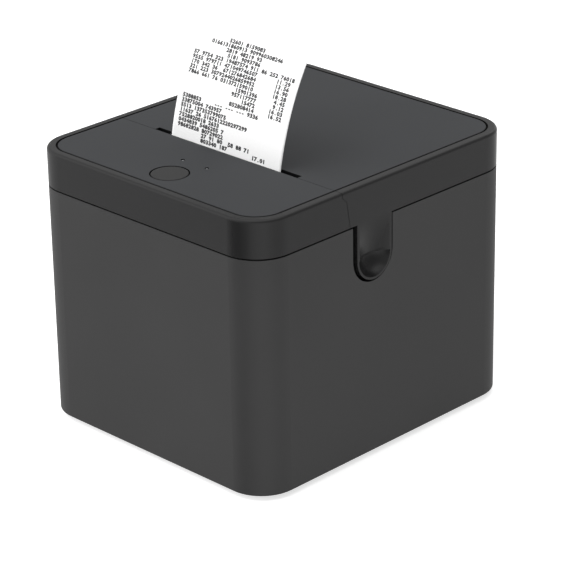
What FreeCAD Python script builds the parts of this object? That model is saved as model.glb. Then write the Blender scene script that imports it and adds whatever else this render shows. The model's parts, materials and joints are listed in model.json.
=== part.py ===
import FreeCAD, Part
import math
import os
import Sketcher

# Desktop receipt printer. Millimetres, +X to the right of the front face, +Y to the rear, +Z up.
# The origin lies under the middle of the body, on the surface that the rubber feet stand on.

SIZES = {
    # body shell
    "body_width": 120.0,
    "body_depth": 137.0,
    "corner_radius": 15.0,
    "wall": 2.5,
    "foot_proud": 2.0,
    "base_height": 93.2,
    "seam_gap": 0.6,
    "band_height": 14.6,
    "bottom_round": 0.8,
    # top face
    "rim_width": 3.4,
    "groove_width": 0.7,
    "inlay_thick": 2.0,
    "deck_thick": 2.0,
    "edge_round": 1.2,
    "inlay_round": 0.4,
    "split_setback": 43.0,
    "split_gap": 0.2,
    "split_knee": 2.2,
    "split_lean": 3.9,
    "slot_length": 75.2,
    "slot_width": 2.4,
    "slot_relief": 1.0,
    # lip that closes the seam from inside
    "lip_height": 2.0,
    "lip_thick": 1.2,
    "lip_gap": 0.3,
    "ledge_height": 4.0,
    "lip_end": 22.0,
    # finger notches and the lid's tongues
    "notch_setback": 58.85,
    "notch_width": 21.1,
    "notch_drop": 23.7,
    "notch_depth": 7.5,
    "notch_wall": 2.0,
    "tongue_thick": 6.9,
    "tongue_front_gap": 2.3,
    "tongue_rear_gap": 0.5,
    "tongue_low_gap": 0.5,
    "bowl_rim": 0.9,
    "bowl_depth": 5.9,
    "scoop_margin": 0.3,
    "scoop_start": 0.1,
    "scoop_depth": 2.3,
    "lip_turn": 1.2,
    "lip_sink": 0.4,
    # lid hinge
    "hinge_radius": 3.5,
    "ear_radius": 3.2,
    "ear_centre": 36.5,
    "ear_width": 8.0,
    "ear_root": 8.0,
    "knuckle_width": 8.0,
    "pin_radius": 1.2,
    "side_gap": 0.4,
    "run_gap": 0.05,
    "fit_gap": 0.02,
    "free_gap": 0.3,
    # bottom plate, feet and screws
    "plate_thick": 2.5,
    "plate_gap": 0.2,
    "foot_radius": 6.0,
    "foot_sink": 0.8,
    "foot_inset": 19.0,
    "boss_radius": 5.0,
    "boss_bite": 1.0,
    "boss_height": 12.0,
    "leg_radius": 3.0,
    "leg_shift": 1.5,
    "post_radius": 2.0,
    "screw_margin": 5.0,
    "screw_radius": 1.5,
    "screw_head": 2.9,
    "screw_head_thick": 1.4,
    "screw_length": 10.0,
    "screw_bite": 1.6,
    "vent_length": 26.0,
    "vent_width": 2.0,
    "vent_round": 0.9,
    "vent_pitch": 5.0,
    # paper and its roll
    "paper_width": 57.5,
    "paper_thick": 0.15,
    "roll_slack": 7.0,
    "core_radius": 8.5,
    "core_bore": 6.0,
    "receipt_straight": 5.6,
    "exit_bend": 40.0,
    "exit_lean": 10.0,
    "curl_radius": 110.0,
    "curl_end": 38.8,
    "tip_slant": 5.8,
    # roll carrier
    "carrier_side_gap": 0.85,
    "cheek_thick": 2.0,
    "trough_thick": 2.0,
    "trough_floor": 30.0,
    "trough_front_gap": 3.6,
    "trough_rear_gap": 10.0,
    "cheek_height": 88.0,
    "leg_width": 8.0,
    "arm_depth": 12.0,
    "window_radius": 12.0,
    # platen and print unit
    "platen_setback": 5.9,
    "platen_drop": 1.9,
    "platen_radius": 6.0,
    "platen_over": 0.75,
    "shaft_radius": 2.0,
    "bush_radius": 3.0,
    "nip_gap": 0.1,
    "bracket_side": 3.25,
    "bracket_thick": 2.5,
    "bracket_gap": 1.5,
    "bracket_radius": 4.6,
    "frame_thick": 1.2,
    "frame_drop": 27.1,
    "frame_rise": 5.5,
    "frame_front": 26.4,
    "frame_rear": 9.6,
    "floor_rear": 1.4,
    "head_thick": 1.0,
    "head_below": 5.4,
    "head_above": 5.6,
    "sink_thick": 5.6,
    "sink_fin": 2.4,
    "fin_count": 6,
    "pivot_radius": 1.25,
    "pivot_drop": 4.2,
    "spring_radius": 2.2,
    "spring_bore": 1.6,
    "spring_reach": 20.0,
    "spring_drop": 2.0,
    # gear train
    "gear_module": 0.5,
    "platen_teeth": 22,
    "small_teeth": 12,
    "large_teeth": 40,
    "pinion_teeth": 12,
    "pressure_angle": 25.0,
    "addendum": 0.9,
    "dedendum": 1.15,
    "backlash": 0.1,
    "gear_width": 3.5,
    "gear_gap": 1.8,
    "gear_step": 0.5,
    "stud_radius": 1.5,
    "stud_cap": 2.4,
    "motor_angle": 215.0,
    "motor_radius": 9.0,
    "motor_length": 14.5,
    "motor_shaft_radius": 1.0,
    "motor_boss": 3.0,
    # lid liner
    "liner_thick": 1.8,
    "liner_side": 12.0,
    "liner_rear": 9.0,
    "rib_height": 3.0,
    "rib_thick": 1.6,
    # feed button, lights and their board
    "button_setback": 15.2,
    "button_radius": 7.2,
    "button_gap": 0.3,
    "button_round": 0.6,
    "button_flange": 8.6,
    "button_flange_thick": 1.1,
    "button_travel": 0.6,
    "button_stem": 2.0,
    "post_margin": 3.0,
    "light_setback": 27.8,
    "light_spread": 6.4,
    "light_radius": 0.8,
    "light_sink": 0.5,
    "board_thick": 1.6,
    "board_drop": 5.8,
    "switch_size": 6.0,
    "switch_height": 3.5,
    "button_board_width": 36.0,
    "button_board_depth": 22.0,
    # main board, port panel and sockets
    "board_lift": 6.5,
    "board_half": 45.0,
    "board_depth": 52.5,
    "board_rear_gap": 4.0,
    "window_half": 41.0,
    "window_low": 9.0,
    "window_high": 29.0,
    "window_round": 2.0,
    "panel_thick": 1.5,
    "panel_margin": 3.0,
    "socket_depth": 14.5,
    "socket_proud": 0.6,
    "socket_gap": 0.3,
    "jack_place": -36.0,
    "usb_place": -16.0,
    "lan_place": 2.0,
    "drawer_place": 20.0,
    "rocker_place": 34.5,
    "usb_width": 12.0,
    "usb_height": 10.8,
    "usb_mouth_width": 8.6,
    "usb_mouth_height": 7.8,
    "usb_mouth_lift": 1.5,
    "lan_width": 16.0,
    "lan_height": 13.4,
    "lan_mouth_width": 11.8,
    "lan_mouth_height": 8.2,
    "lan_mouth_lift": 1.8,
    "drawer_width": 13.0,
    "drawer_height": 12.4,
    "drawer_mouth_width": 9.8,
    "drawer_mouth_height": 6.8,
    "drawer_mouth_lift": 1.8,
    "mouth_depth": 10.5,
    "jack_width": 9.0,
    "jack_height": 11.0,
    "pin_setback": 1.0,
    "jack_bore": 3.2,
    "jack_pin": 1.0,
    "rocker_half": 3.9,
    "rocker_rise": 5.9,
    "rocker_tip": 14.0,
    "rocker_pin": 0.7,
    "rocker_sink": 1.05,
    # tear bar and paper sensor
    "bar_depth": 5.0,
    "bar_thick": 0.8,
    "bar_pitch": 2.0,
    "sensor_width": 8.0,
    "sensor_depth": 5.0,
    "sensor_height": 3.6,
}

doc = FreeCAD.newDocument("receipt_printer")
sheet = doc.addObject("Spreadsheet::Sheet", "Sizes")
for row, (alias, number) in enumerate(SIZES.items(), start=1):
    sheet.set("A%d" % row, alias)
    sheet.set("B%d" % row, str(number))
    sheet.setAlias("B%d" % row, alias)
doc.recompute()


class Size:
    """A length with its number and the sheet formula that it comes from."""

    def __init__(self, value, text):
        self.value = value
        self.text = text

    def __add__(self, other):
        other = as_size(other)
        return Size(self.value + other.value, "(%s + %s)" % (self.text, other.text))

    def __sub__(self, other):
        other = as_size(other)
        return Size(self.value - other.value, "(%s - %s)" % (self.text, other.text))

    def __mul__(self, other):
        other = as_size(other)
        return Size(self.value * other.value, "(%s * %s)" % (self.text, other.text))

    def __truediv__(self, other):
        other = as_size(other)
        return Size(self.value / other.value, "(%s / %s)" % (self.text, other.text))

    def __neg__(self):
        return Size(-self.value, "(-%s)" % self.text)

    __radd__ = __add__

    def __rsub__(self, other):
        return as_size(other) - self

    __rmul__ = __mul__


def as_size(number):
    return number if isinstance(number, Size) else Size(float(number), repr(float(number)))


def root_of(size):
    return Size(math.sqrt(size.value), "sqrt(%s)" % size.text)


def sine(size):
    size = as_size(size)
    return Size(math.sin(math.radians(size.value)), "sin(%s)" % size.text)


def cosine(size):
    size = as_size(size)
    return Size(math.cos(math.radians(size.value)), "cos(%s)" % size.text)


def tangent(size):
    return Size(math.tan(math.radians(size.value)), "tan(%s)" % size.text)


def cell(alias):
    return Size(float(sheet.get(alias)), "Sizes." + alias)


class Sheet:
    """Every alias of the sheet, read as an attribute."""

    def __getattr__(self, alias):
        return cell(alias)


S = Sheet()
ZERO = as_size(0)
EYE = 0.001
OVER = 1.0


def bind(thing, prop, size):
    thing.setExpression(prop, as_size(size).text)


# Sketches, pads and cuts

PAD_REVERSED = {"XY": False, "YZ": False, "XZ": True}


def new_body(label):
    body = doc.addObject("PartDesign::Body", label)
    body.Label = label
    return body


def new_sketch(body, name, plane, offset):
    """An empty sketch on one of the body's own planes, moved along the plane's world axis."""
    base = [item for item in body.Origin.OriginFeatures if item.Role == plane + "_Plane"][0]
    sketch = body.newObject("Sketcher::SketchObject", name)
    sketch.AttachmentSupport = [(base, "")]
    sketch.MapMode = "FlatFace"
    bind(sketch, "AttachmentOffset.Base.z", -as_size(offset) if plane == "XZ" else offset)
    return sketch


def fix(sketch, kind, ids, size):
    size = as_size(size)
    index = sketch.addConstraint(Sketcher.Constraint(kind, *ids, size.value))
    sketch.setExpression("Constraints[%d]" % index, size.text)


def point(u, v):
    return FreeCAD.Vector(as_size(u).value, as_size(v).value, 0)


def arc_between(start, end, radius):
    """The shorter arc from start to end: a positive radius has its centre on the left of the chord."""
    chord = end - start
    half = chord.Length / 2
    rise = math.sqrt(max(radius * radius - half * half, 0))
    left = FreeCAD.Vector(-chord.y, chord.x, 0).normalize()
    side = 1 if radius > 0 else -1
    centre = (start + end) / 2 + left * rise * side
    circle = Part.Circle(centre, FreeCAD.Vector(0, 0, 1), abs(radius))
    first, last = (start, end) if radius > 0 else (end, start)
    return Part.ArcOfCircle(circle, circle.parameter(first), circle.parameter(last))


def outline(*corners):
    """A closed outline: each corner is (u, v), or (u, v, radius) where an arc runs on to the next corner."""
    def draw(sketch):
        base = sketch.GeometryCount
        count = len(corners)
        ends = []
        for index, corner in enumerate(corners):
            start = point(*corner[:2])
            end = point(*corners[(index + 1) % count][:2])
            if len(corner) == 2:
                sketch.addGeometry(Part.LineSegment(start, end), False)
                ends.append((1, 2))
            else:
                radius = as_size(corner[2])
                sketch.addGeometry(arc_between(start, end, radius.value), False)
                ends.append((1, 2) if radius.value > 0 else (2, 1))
        for index in range(count):
            follow = (index + 1) % count
            ids = (base + index, ends[index][1], base + follow, ends[follow][0])
            sketch.addConstraint(Sketcher.Constraint("Coincident", *ids))
        for index, corner in enumerate(corners):
            here = (-1, 1, base + index, ends[index][0])
            fix(sketch, "DistanceX", here, corner[0])
            fix(sketch, "DistanceY", here, corner[1])
            if len(corner) == 3:
                radius = as_size(corner[2])
                fix(sketch, "Radius", (base + index,), radius if radius.value > 0 else -radius)
    return draw


def circle(u, v, radius):
    def draw(sketch):
        index = sketch.GeometryCount
        shape = Part.Circle(point(u, v), FreeCAD.Vector(0, 0, 1), as_size(radius).value)
        sketch.addGeometry(shape, False)
        fix(sketch, "DistanceX", (-1, 1, index, 3), u)
        fix(sketch, "DistanceY", (-1, 1, index, 3), v)
        fix(sketch, "Radius", (index,), radius)
    return draw


def block(u0, u1, v0, v1):
    return outline((u0, v0), (u1, v0), (u1, v1), (u0, v1))


def soft_block(u0, u1, v0, v1, radius):
    """A rectangle with four rounded corners."""
    return outline(
        (u0 + radius, v0), (u1 - radius, v0, radius),
        (u1, v0 + radius), (u1, v1 - radius, radius),
        (u1 - radius, v1), (u0 + radius, v1, radius),
        (u0, v1 - radius), (u0, v0 + radius, radius))


def pad(body, name, plane, start, end, *shapes):
    """Adds material from start to end along the world axis that the plane faces."""
    sketch = new_sketch(body, name + "_sketch", plane, start)
    for draw in shapes:
        draw(sketch)
    feature = body.newObject("PartDesign::Pad", name)
    feature.Profile = sketch
    feature.Reversed = PAD_REVERSED[plane]
    bind(feature, "Length", as_size(end) - start)
    doc.recompute()
    return feature


def cut(body, name, plane, start, end, *shapes):
    """Takes material away from start to end, and refuses to take nothing."""
    before = body.Shape.Volume
    sketch = new_sketch(body, name + "_sketch", plane, start)
    for draw in shapes:
        draw(sketch)
    feature = body.newObject("PartDesign::Pocket", name)
    feature.Profile = sketch
    feature.Reversed = not PAD_REVERSED[plane]
    bind(feature, "Length", as_size(end) - start)
    doc.recompute()
    if body.Shape.Volume > before - EYE:
        raise ValueError(name + " takes nothing away")
    return feature


def round_edges(body, name, radius, chosen):
    """Rounds every edge of the body that the test picks."""
    base = body.Tip
    names = ["Edge%d" % (i + 1) for i, edge in enumerate(base.Shape.Edges) if chosen(edge)]
    fillet = body.newObject("PartDesign::Fillet", name)
    fillet.Base = (base, names)
    bind(fillet, "Radius", radius)
    doc.recompute()
    return fillet


def at_height(size):
    """A test for edges that lie flat at one height."""
    level = as_size(size).value

    def chosen(edge):
        return all(abs(vertex.Z - level) < EYE for vertex in edge.Vertexes)
    return chosen


# Plain solids

def place(thing, x, y, z, rotation=None):
    if rotation:
        thing.Placement = FreeCAD.Placement(FreeCAD.Vector(), FreeCAD.Rotation(*rotation))
    bind(thing, "Placement.Base.x", x)
    bind(thing, "Placement.Base.y", y)
    bind(thing, "Placement.Base.z", z)
    return thing


def solid_box(name, x0, x1, y0, y1, z0, z1):
    box = doc.addObject("Part::Box", name)
    bind(box, "Length", as_size(x1) - x0)
    bind(box, "Width", as_size(y1) - y0)
    bind(box, "Height", as_size(z1) - z0)
    return place(box, x0, y0, z0)


ALONG_X = (FreeCAD.Vector(0, 1, 0), 90)
ALONG_Y = (FreeCAD.Vector(1, 0, 0), -90)


def rod_x(name, radius, x0, x1, y, z):
    rod = doc.addObject("Part::Cylinder", name)
    bind(rod, "Radius", radius)
    bind(rod, "Height", as_size(x1) - x0)
    return place(rod, x0, y, z, ALONG_X)


def rod_y(name, radius, y0, y1, x, z):
    rod = doc.addObject("Part::Cylinder", name)
    bind(rod, "Radius", radius)
    bind(rod, "Height", as_size(y1) - y0)
    return place(rod, x, y0, z, ALONG_Y)


def rod_z(name, radius, z0, z1, x, y):
    rod = doc.addObject("Part::Cylinder", name)
    bind(rod, "Radius", radius)
    bind(rod, "Height", as_size(z1) - z0)
    return place(rod, x, y, z0)


def joined(name, *pieces):
    fuse = doc.addObject("Part::MultiFuse", name)
    fuse.Shapes = list(pieces)
    return fuse


def less(name, base, *tools):
    """The base with each tool taken away in turn."""
    for index, tool in enumerate(tools):
        cut_name = name if index == len(tools) - 1 else "%s_step%d" % (name, index)
        taken = doc.addObject("Part::Cut", cut_name)
        taken.Base = base
        taken.Tool = tool
        base = taken
    return base


def group(name, pieces):
    """Separate solids of one kind that share a node."""
    compound = doc.addObject("Part::Compound", name)
    compound.Links = list(pieces)
    return compound


SUBPARTS = []


def keep(thing, label):
    thing.Label = label
    SUBPARTS.append(thing)
    return thing


# Places that several sub-parts share

half_width = S.body_width / 2
front_y = -S.body_depth / 2
rear_y = S.body_depth / 2
inner_half = half_width - S.wall
rear_inner = rear_y - S.wall
base_z = S.foot_proud
plate_top = base_z + S.plate_thick
seam_z = base_z + S.base_height
band_z = seam_z + S.seam_gap
top_z = band_z + S.band_height
deck_top = top_z - S.inlay_thick
deck_z = deck_top - S.deck_thick
split_y = front_y + S.split_setback
notch_y = front_y + S.notch_setback
notch_front = notch_y - S.notch_width / 2
notch_rear = notch_y + S.notch_width / 2
notch_low = seam_z - S.notch_drop
hinge_y = rear_y - S.hinge_radius
hinge_z = band_z + S.hinge_radius
half_paper = S.paper_width / 2
platen_y = split_y + S.platen_setback
platen_z = hinge_z - S.platen_drop
bracket_in = half_paper + S.bracket_side
bracket_out = bracket_in + S.bracket_thick
frame_in = bracket_out + S.bracket_gap
frame_out = frame_in + S.frame_thick
frame_low = platen_z - S.frame_drop
floor_top = frame_low + S.frame_thick
frame_y0 = platen_y - S.frame_front
frame_y1 = platen_y + S.frame_rear
floor_y1 = platen_y - S.floor_rear
gear_x0 = frame_out + S.gear_gap
gear_x1 = gear_x0 + S.gear_width
drive_x0 = gear_x1 + S.gear_step
drive_x1 = drive_x0 + S.gear_width
stud_y = platen_y
stud_z = platen_z - S.gear_module * (S.platen_teeth + S.small_teeth) / 2
motor_reach = S.gear_module * (S.large_teeth + S.pinion_teeth) / 2
motor_y = stud_y + motor_reach * cosine(S.motor_angle)
motor_z = stud_z + motor_reach * sine(S.motor_angle)
nip_back = platen_y - S.platen_radius - S.nip_gap
nip_front = nip_back - S.paper_thick
head_face = nip_front - S.nip_gap
head_back = head_face - S.head_thick
sink_back = head_back - S.sink_thick
pivot_y = head_back - S.sink_thick / 2
pivot_z = platen_z - S.pivot_drop
cheek_in = half_paper + S.carrier_side_gap
cheek_out = cheek_in + S.cheek_thick
trough_front = platen_y + S.trough_front_gap
trough_rear = rear_inner - S.trough_rear_gap
trough_y = (trough_front + trough_rear) / 2
trough_radius = (trough_rear - trough_front) / 2 - S.trough_thick
trough_z = S.trough_floor + trough_radius
roll_radius = trough_radius - S.roll_slack
roll_z = S.trough_floor + S.free_gap + roll_radius
button_y = front_y + S.button_setback
light_y = front_y + S.light_setback
button_board_top = deck_z - S.board_drop
board_z = plate_top + S.board_lift
board_top = board_z + S.board_thick
panel_y = rear_inner - S.panel_thick
board_rear = panel_y - S.board_rear_gap
board_front = board_rear - S.board_depth
socket_face = rear_inner + S.socket_proud
boss_reach = (S.corner_radius - S.wall - S.boss_radius + S.boss_bite) * cosine(45)
boss_x = half_width - S.corner_radius + boss_reach
boss_y = rear_y - S.corner_radius + boss_reach
spring_z = platen_z - S.spring_drop
window_mid = base_z + (S.window_low + S.window_high) / 2


def body_outline(inset):
    """The rounded plan of the body, drawn in by a margin on all sides."""
    return soft_block(inset - half_width, half_width - inset, front_y + inset, rear_y - inset,
                      S.corner_radius - inset)


# Lower housing

def lower_housing():
    body = new_body("lower_housing")
    pad(body, "shell", "XY", base_z, seam_z, body_outline(ZERO))
    round_edges(body, "bottom_edge", S.bottom_round, at_height(base_z))
    cut(body, "inside", "XY", base_z, seam_z, body_outline(S.wall))
    lip_outer = S.wall + S.lip_gap
    lip_inner = lip_outer + S.lip_thick
    ledge_outer = S.wall - S.lip_gap
    pad(body, "ledge", "XY", seam_z - S.ledge_height, seam_z, body_outline(ledge_outer),
        body_outline(lip_inner))
    pad(body, "lip", "XY", seam_z - S.lip_gap, seam_z + S.lip_height, body_outline(lip_outer),
        body_outline(lip_inner))
    lip_stop = rear_y - S.lip_end
    cut(body, "lip_stop", "XY", seam_z, seam_z + S.lip_height + OVER,
        block(-half_width, half_width, lip_stop, rear_y))
    corners = [(x, y) for x in (-boss_x, boss_x) for y in (-boss_y, boss_y)]
    pad(body, "bosses", "XY", plate_top, plate_top + S.boss_height,
        *[circle(x, y, S.boss_radius) for x, y in corners])
    cut(body, "pilots", "XY", plate_top, plate_top + S.screw_length,
        *[circle(x, y, S.screw_radius + S.run_gap) for x, y in corners])
    pad(body, "cover_posts", "XY", plate_top + S.boss_height, seam_z - S.ledge_height,
        *[circle(x, -boss_y, S.boss_radius) for x in (-boss_x, boss_x)])
    for side, name in ((-1, "left"), (1, "right")):
        finger_notch(body, side, name)
    cut(body, "port_window", "XZ", rear_inner - OVER, rear_y + OVER,
        soft_block(-S.window_half, S.window_half, base_z + S.window_low, base_z + S.window_high,
                   S.window_round))
    hinge_ears(body)
    return keep(body, "lower_housing")


def finger_notch(body, side, name):
    """A U-shaped bay in the side wall, closed at its back, that the lid's tab sits in."""
    floor_x = half_width - S.notch_depth
    back_x = floor_x - S.notch_wall
    arc_z = notch_low + S.notch_width / 2
    margin = S.notch_wall
    wide = S.notch_width / 2 + margin
    low_x, high_x = (back_x, inner_half + EYE) if side > 0 else (-inner_half - EYE, -back_x)
    pad(body, name + "_notch_back", "YZ", low_x, high_x,
        outline((notch_front - margin, seam_z), (notch_front - margin, arc_z, wide),
                (notch_y, notch_low - margin, wide), (notch_rear + margin, arc_z),
                (notch_rear + margin, seam_z)))
    low_x, high_x = (floor_x, half_width + OVER) if side > 0 else (-half_width - OVER, -floor_x)
    over = seam_z + S.lip_height + OVER
    arc = S.notch_width / 2
    cut(body, name + "_notch", "YZ", low_x, high_x,
        outline((notch_front, over), (notch_front, arc_z, arc), (notch_y, notch_low, arc),
                (notch_rear, arc_z), (notch_rear, over)))


def hinge_ears(body):
    """Two eyes on the rear wall that hold the hinge pins."""
    neck = S.ear_radius
    for side, name in ((-1, "left"), (1, "right")):
        start = S.ear_centre * side - S.ear_width / 2
        end = S.ear_centre * side + S.ear_width / 2
        root = seam_z - S.ear_root
        pad(body, name + "_ear_neck", "YZ", start, end,
            outline((hinge_y - neck, hinge_z), (hinge_y - neck, root), (rear_inner + EYE, root - neck),
                    (rear_inner + EYE, seam_z - EYE), (hinge_y - S.side_gap, seam_z - EYE),
                    (hinge_y - S.side_gap, hinge_z)))
        pad(body, name + "_ear", "YZ", start, end, circle(hinge_y, hinge_z, S.ear_radius))
        cut(body, name + "_ear_bore", "YZ", start, end, circle(hinge_y, hinge_z, S.pin_radius + S.run_gap))


# Top band: a fixed front cover and the hinged lid share one moulded form

def split_outline(back, front_of_it):
    """The region on one side of the split line, which steps back through the deck and leans below it."""
    far = (front_y - OVER) if front_of_it else (rear_y + OVER)
    low = band_z - OVER
    knee = back + S.split_knee
    foot = back + S.split_lean
    return outline((back, top_z + OVER), (back, deck_top), (knee, deck_z), (foot, band_z), (foot, low),
                   (far, low), (far, top_z + OVER))


def band_shell(label):
    body = new_body(label)
    pad(body, label + "_block", "XY", band_z, top_z, body_outline(ZERO))
    round_edges(body, label + "_edge", S.edge_round, at_height(top_z))
    cut(body, label + "_recess", "XY", deck_top, top_z, body_outline(S.rim_width))
    cut(body, label + "_inside", "XY", band_z, deck_z, body_outline(S.wall))
    return body


def slot_block(y0, y1):
    return block(-S.slot_length / 2, S.slot_length / 2, y0, y1)


def front_cover():
    body = band_shell("front_cover")
    edge = split_y - S.split_gap / 2
    cut(body, "cover_split", "YZ", -half_width - OVER, half_width + OVER, split_outline(edge, False))
    cut(body, "deck_edge", "XY", deck_z, deck_top,
        block(-inner_half + EYE, inner_half - EYE, edge, edge + S.split_lean))
    cut(body, "paper_relief", "XY", deck_z, deck_top, slot_block(edge - S.slot_relief, edge + OVER))
    pad(body, "cover_legs", "XY", seam_z - S.ledge_height, deck_z + EYE,
        *[circle(side * (boss_x - S.leg_shift), S.leg_shift - boss_y, S.leg_radius) for side in (-1, 1)])
    pad(body, "board_posts", "XY", button_board_top, deck_z + EYE,
        *[circle(x, button_y, S.button_stem) for x in button_post_places()])
    cut(body, "button_hole", "XY", deck_z, deck_top, circle(ZERO, button_y, S.button_radius + S.button_gap))
    cut(body, "light_holes", "XY", deck_z, deck_top, *light_circles())
    return keep(body, "front_cover")


def button_post_places():
    reach = S.button_board_width / 2 - S.post_margin
    return (-reach, reach)


def light_circles():
    return [circle(S.light_spread * side, light_y, S.light_radius + S.run_gap) for side in (-1, 1)]


def inlay(label):
    body = new_body(label)
    pad(body, label + "_sheet", "XY", deck_top, top_z, body_outline(S.rim_width + S.groove_width))
    round_edges(body, label + "_edge", S.inlay_round, at_height(top_z))
    return body


def front_panel():
    body = inlay("front_panel")
    edge = split_y - S.split_gap / 2
    cut(body, "panel_split", "XY", deck_top, top_z + OVER, block(-half_width, half_width, edge, rear_y))
    cut(body, "panel_button_hole", "XY", deck_top, top_z,
        circle(ZERO, button_y, S.button_radius + S.button_gap))
    cut(body, "panel_light_holes", "XY", deck_top, top_z, *light_circles())
    return keep(body, "front_panel")


def lid_panel():
    body = inlay("lid_panel")
    edge = split_y + S.split_gap / 2
    cut(body, "lid_panel_split", "XY", deck_top, top_z + OVER, block(-half_width, half_width, front_y, edge))
    cut(body, "lid_panel_slot", "XY", deck_top, top_z + OVER, slot_block(edge - OVER, split_y + S.slot_width))
    return keep(body, "lid_panel")


def lid_shell():
    body = band_shell("lid_shell")
    edge = split_y + S.split_gap / 2
    cut(body, "lid_split", "YZ", -half_width - OVER, half_width + OVER, split_outline(edge, True))
    cut(body, "lid_slot", "XY", deck_z, deck_top, slot_block(edge - OVER, split_y + S.slot_width))
    reach = S.hinge_radius
    cut(body, "rear_roundover", "YZ", -half_width - OVER, half_width + OVER,
        outline((hinge_y, band_z, reach), (rear_y, hinge_z), (rear_y + OVER, hinge_z),
                (rear_y + OVER, band_z - OVER), (hinge_y, band_z - OVER)))
    for side, name in ((-1, "left"), (1, "right")):
        tongue(body, side, name)
        lid_knuckles(body, side, name)
    cut(body, "lid_screw_holes", "XY", deck_z, deck_z + S.screw_bite,
        *[circle(x, y, S.pin_radius + S.run_gap) for x, y in lid_screw_places()])
    return keep(body, "lid_shell")


def tongue(body, side, name):
    """The U-shaped tab in the notch: its face sinks in towards a lip, and a finger bowl lies under the lip."""
    front = notch_front + S.tongue_front_gap
    rear = notch_rear - S.tongue_rear_gap
    middle = (front + rear) / 2
    radius = (rear - front) / 2
    low = notch_low + S.tongue_low_gap
    lip_z = low + radius
    inner = half_width - S.tongue_thick
    start, end = (inner, half_width) if side > 0 else (-half_width, -inner)
    pad(body, name + "_tongue", "YZ", start, end,
        outline((front, deck_z + EYE), (front, lip_z, radius), (middle, low, radius), (rear, lip_z),
                (rear, deck_z + EYE)))
    reach = radius - S.bowl_rim
    scoop(body, side, name, middle, lip_z, reach - S.scoop_margin)
    finger_bowl(body, side, name, middle, lip_z, reach)


def arc_radius(half_chord, rise):
    return (half_chord * half_chord + rise * rise) / (rise * 2)


def scoop(body, side, name, middle, lip_z, half):
    """A hollow in the tab's face: flat and shallow at the seam, rounder below, turned in at the lip."""
    before = body.Shape.Volume
    face_x = half_width * side
    out_x = (half_width + OVER) * side
    sections = []
    steps = (("start", band_z, S.scoop_start),
             ("low", lip_z + S.lip_turn, S.scoop_depth),
             ("end", lip_z, S.scoop_depth + S.lip_sink))
    for label, level, depth in steps:
        sketch = new_sketch(body, "%s_scoop_%s" % (name, label), "XY", level)
        radius = arc_radius(half, depth)
        outline((face_x, middle - half, -radius if side > 0 else radius), (face_x, middle + half),
                (out_x, middle + half), (out_x, middle - half))(sketch)
        sections.append(sketch)
    loft = body.newObject("PartDesign::SubtractiveLoft", name + "_scoop")
    loft.Profile = sections[0]
    loft.Sections = sections[1:]
    loft.Ruled = True
    doc.recompute()
    if body.Shape.Volume > before - EYE:
        raise ValueError(name + " scoop takes nothing away")


def finger_bowl(body, side, name, middle, lip_z, reach):
    """The lower half of a round bowl, sunk into the tab's face as far up as the lip."""
    before = body.Shape.Volume
    face_x = half_width * side
    deep_x = (half_width - S.bowl_depth) * side
    out_x = (half_width + OVER) * side
    radius = arc_radius(reach, S.bowl_depth)
    sketch = new_sketch(body, name + "_bowl_sketch", "XZ", middle)
    outline((deep_x, lip_z), (out_x, lip_z), (out_x, lip_z - reach),
            (face_x, lip_z - reach, -radius if side > 0 else radius))(sketch)
    groove = body.newObject("PartDesign::Groove", name + "_bowl")
    groove.Profile = sketch
    groove.ReferenceAxis = (sketch, ["Edge1"])
    groove.Angle = 180
    groove.Midplane = True
    doc.recompute()
    if body.Shape.Volume > before - EYE:
        raise ValueError(name + " bowl takes nothing away")


def lid_knuckles(body, side, name):
    """Two eyes of the lid on either side of each ear, and the clearance that the ear turns in."""
    ear_start = S.ear_centre * side - S.ear_width / 2 - S.side_gap
    ear_end = S.ear_centre * side + S.ear_width / 2 + S.side_gap
    spans = ((ear_start - S.knuckle_width, ear_start), (ear_end, ear_end + S.knuckle_width))
    for index, (start, end) in enumerate(spans):
        eye = "%s_knuckle_%d" % (name, index)
        pad(body, eye, "YZ", start, end, circle(hinge_y, hinge_z, S.hinge_radius))
        pad(body, eye + "_web", "YZ", start, end,
            outline((hinge_y - S.hinge_radius, hinge_z), (rear_inner + EYE, hinge_z),
                    (rear_inner + EYE, deck_z + EYE), (hinge_y - S.hinge_radius, deck_z + EYE)))
        cut(body, eye + "_bore", "YZ", start, end, circle(hinge_y, hinge_z, S.pin_radius + S.run_gap))
    cut(body, name + "_ear_room", "YZ", ear_start, ear_end,
        circle(hinge_y, hinge_z, S.ear_radius + S.free_gap))


def hinge_pins():
    pins = []
    reach = S.ear_width / 2 + S.side_gap + S.knuckle_width - S.side_gap
    for side, name in ((-1, "left"), (1, "right")):
        middle = S.ear_centre * side
        pins.append(rod_x(name + "_pin", S.pin_radius, middle - reach, middle + reach, hinge_y, hinge_z))
    return keep(group("hinge_pins", pins), "hinge_pins")


# Lid liner, its screws and the platen

def liner_front():
    return platen_y + S.bracket_radius + S.free_gap


def lid_screw_places():
    x = half_width - S.liner_side - S.screw_margin
    return [(side * x, y) for side in (-1, 1)
            for y in (liner_front() + S.screw_margin, hinge_y - S.liner_rear - S.screw_margin)]


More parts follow.
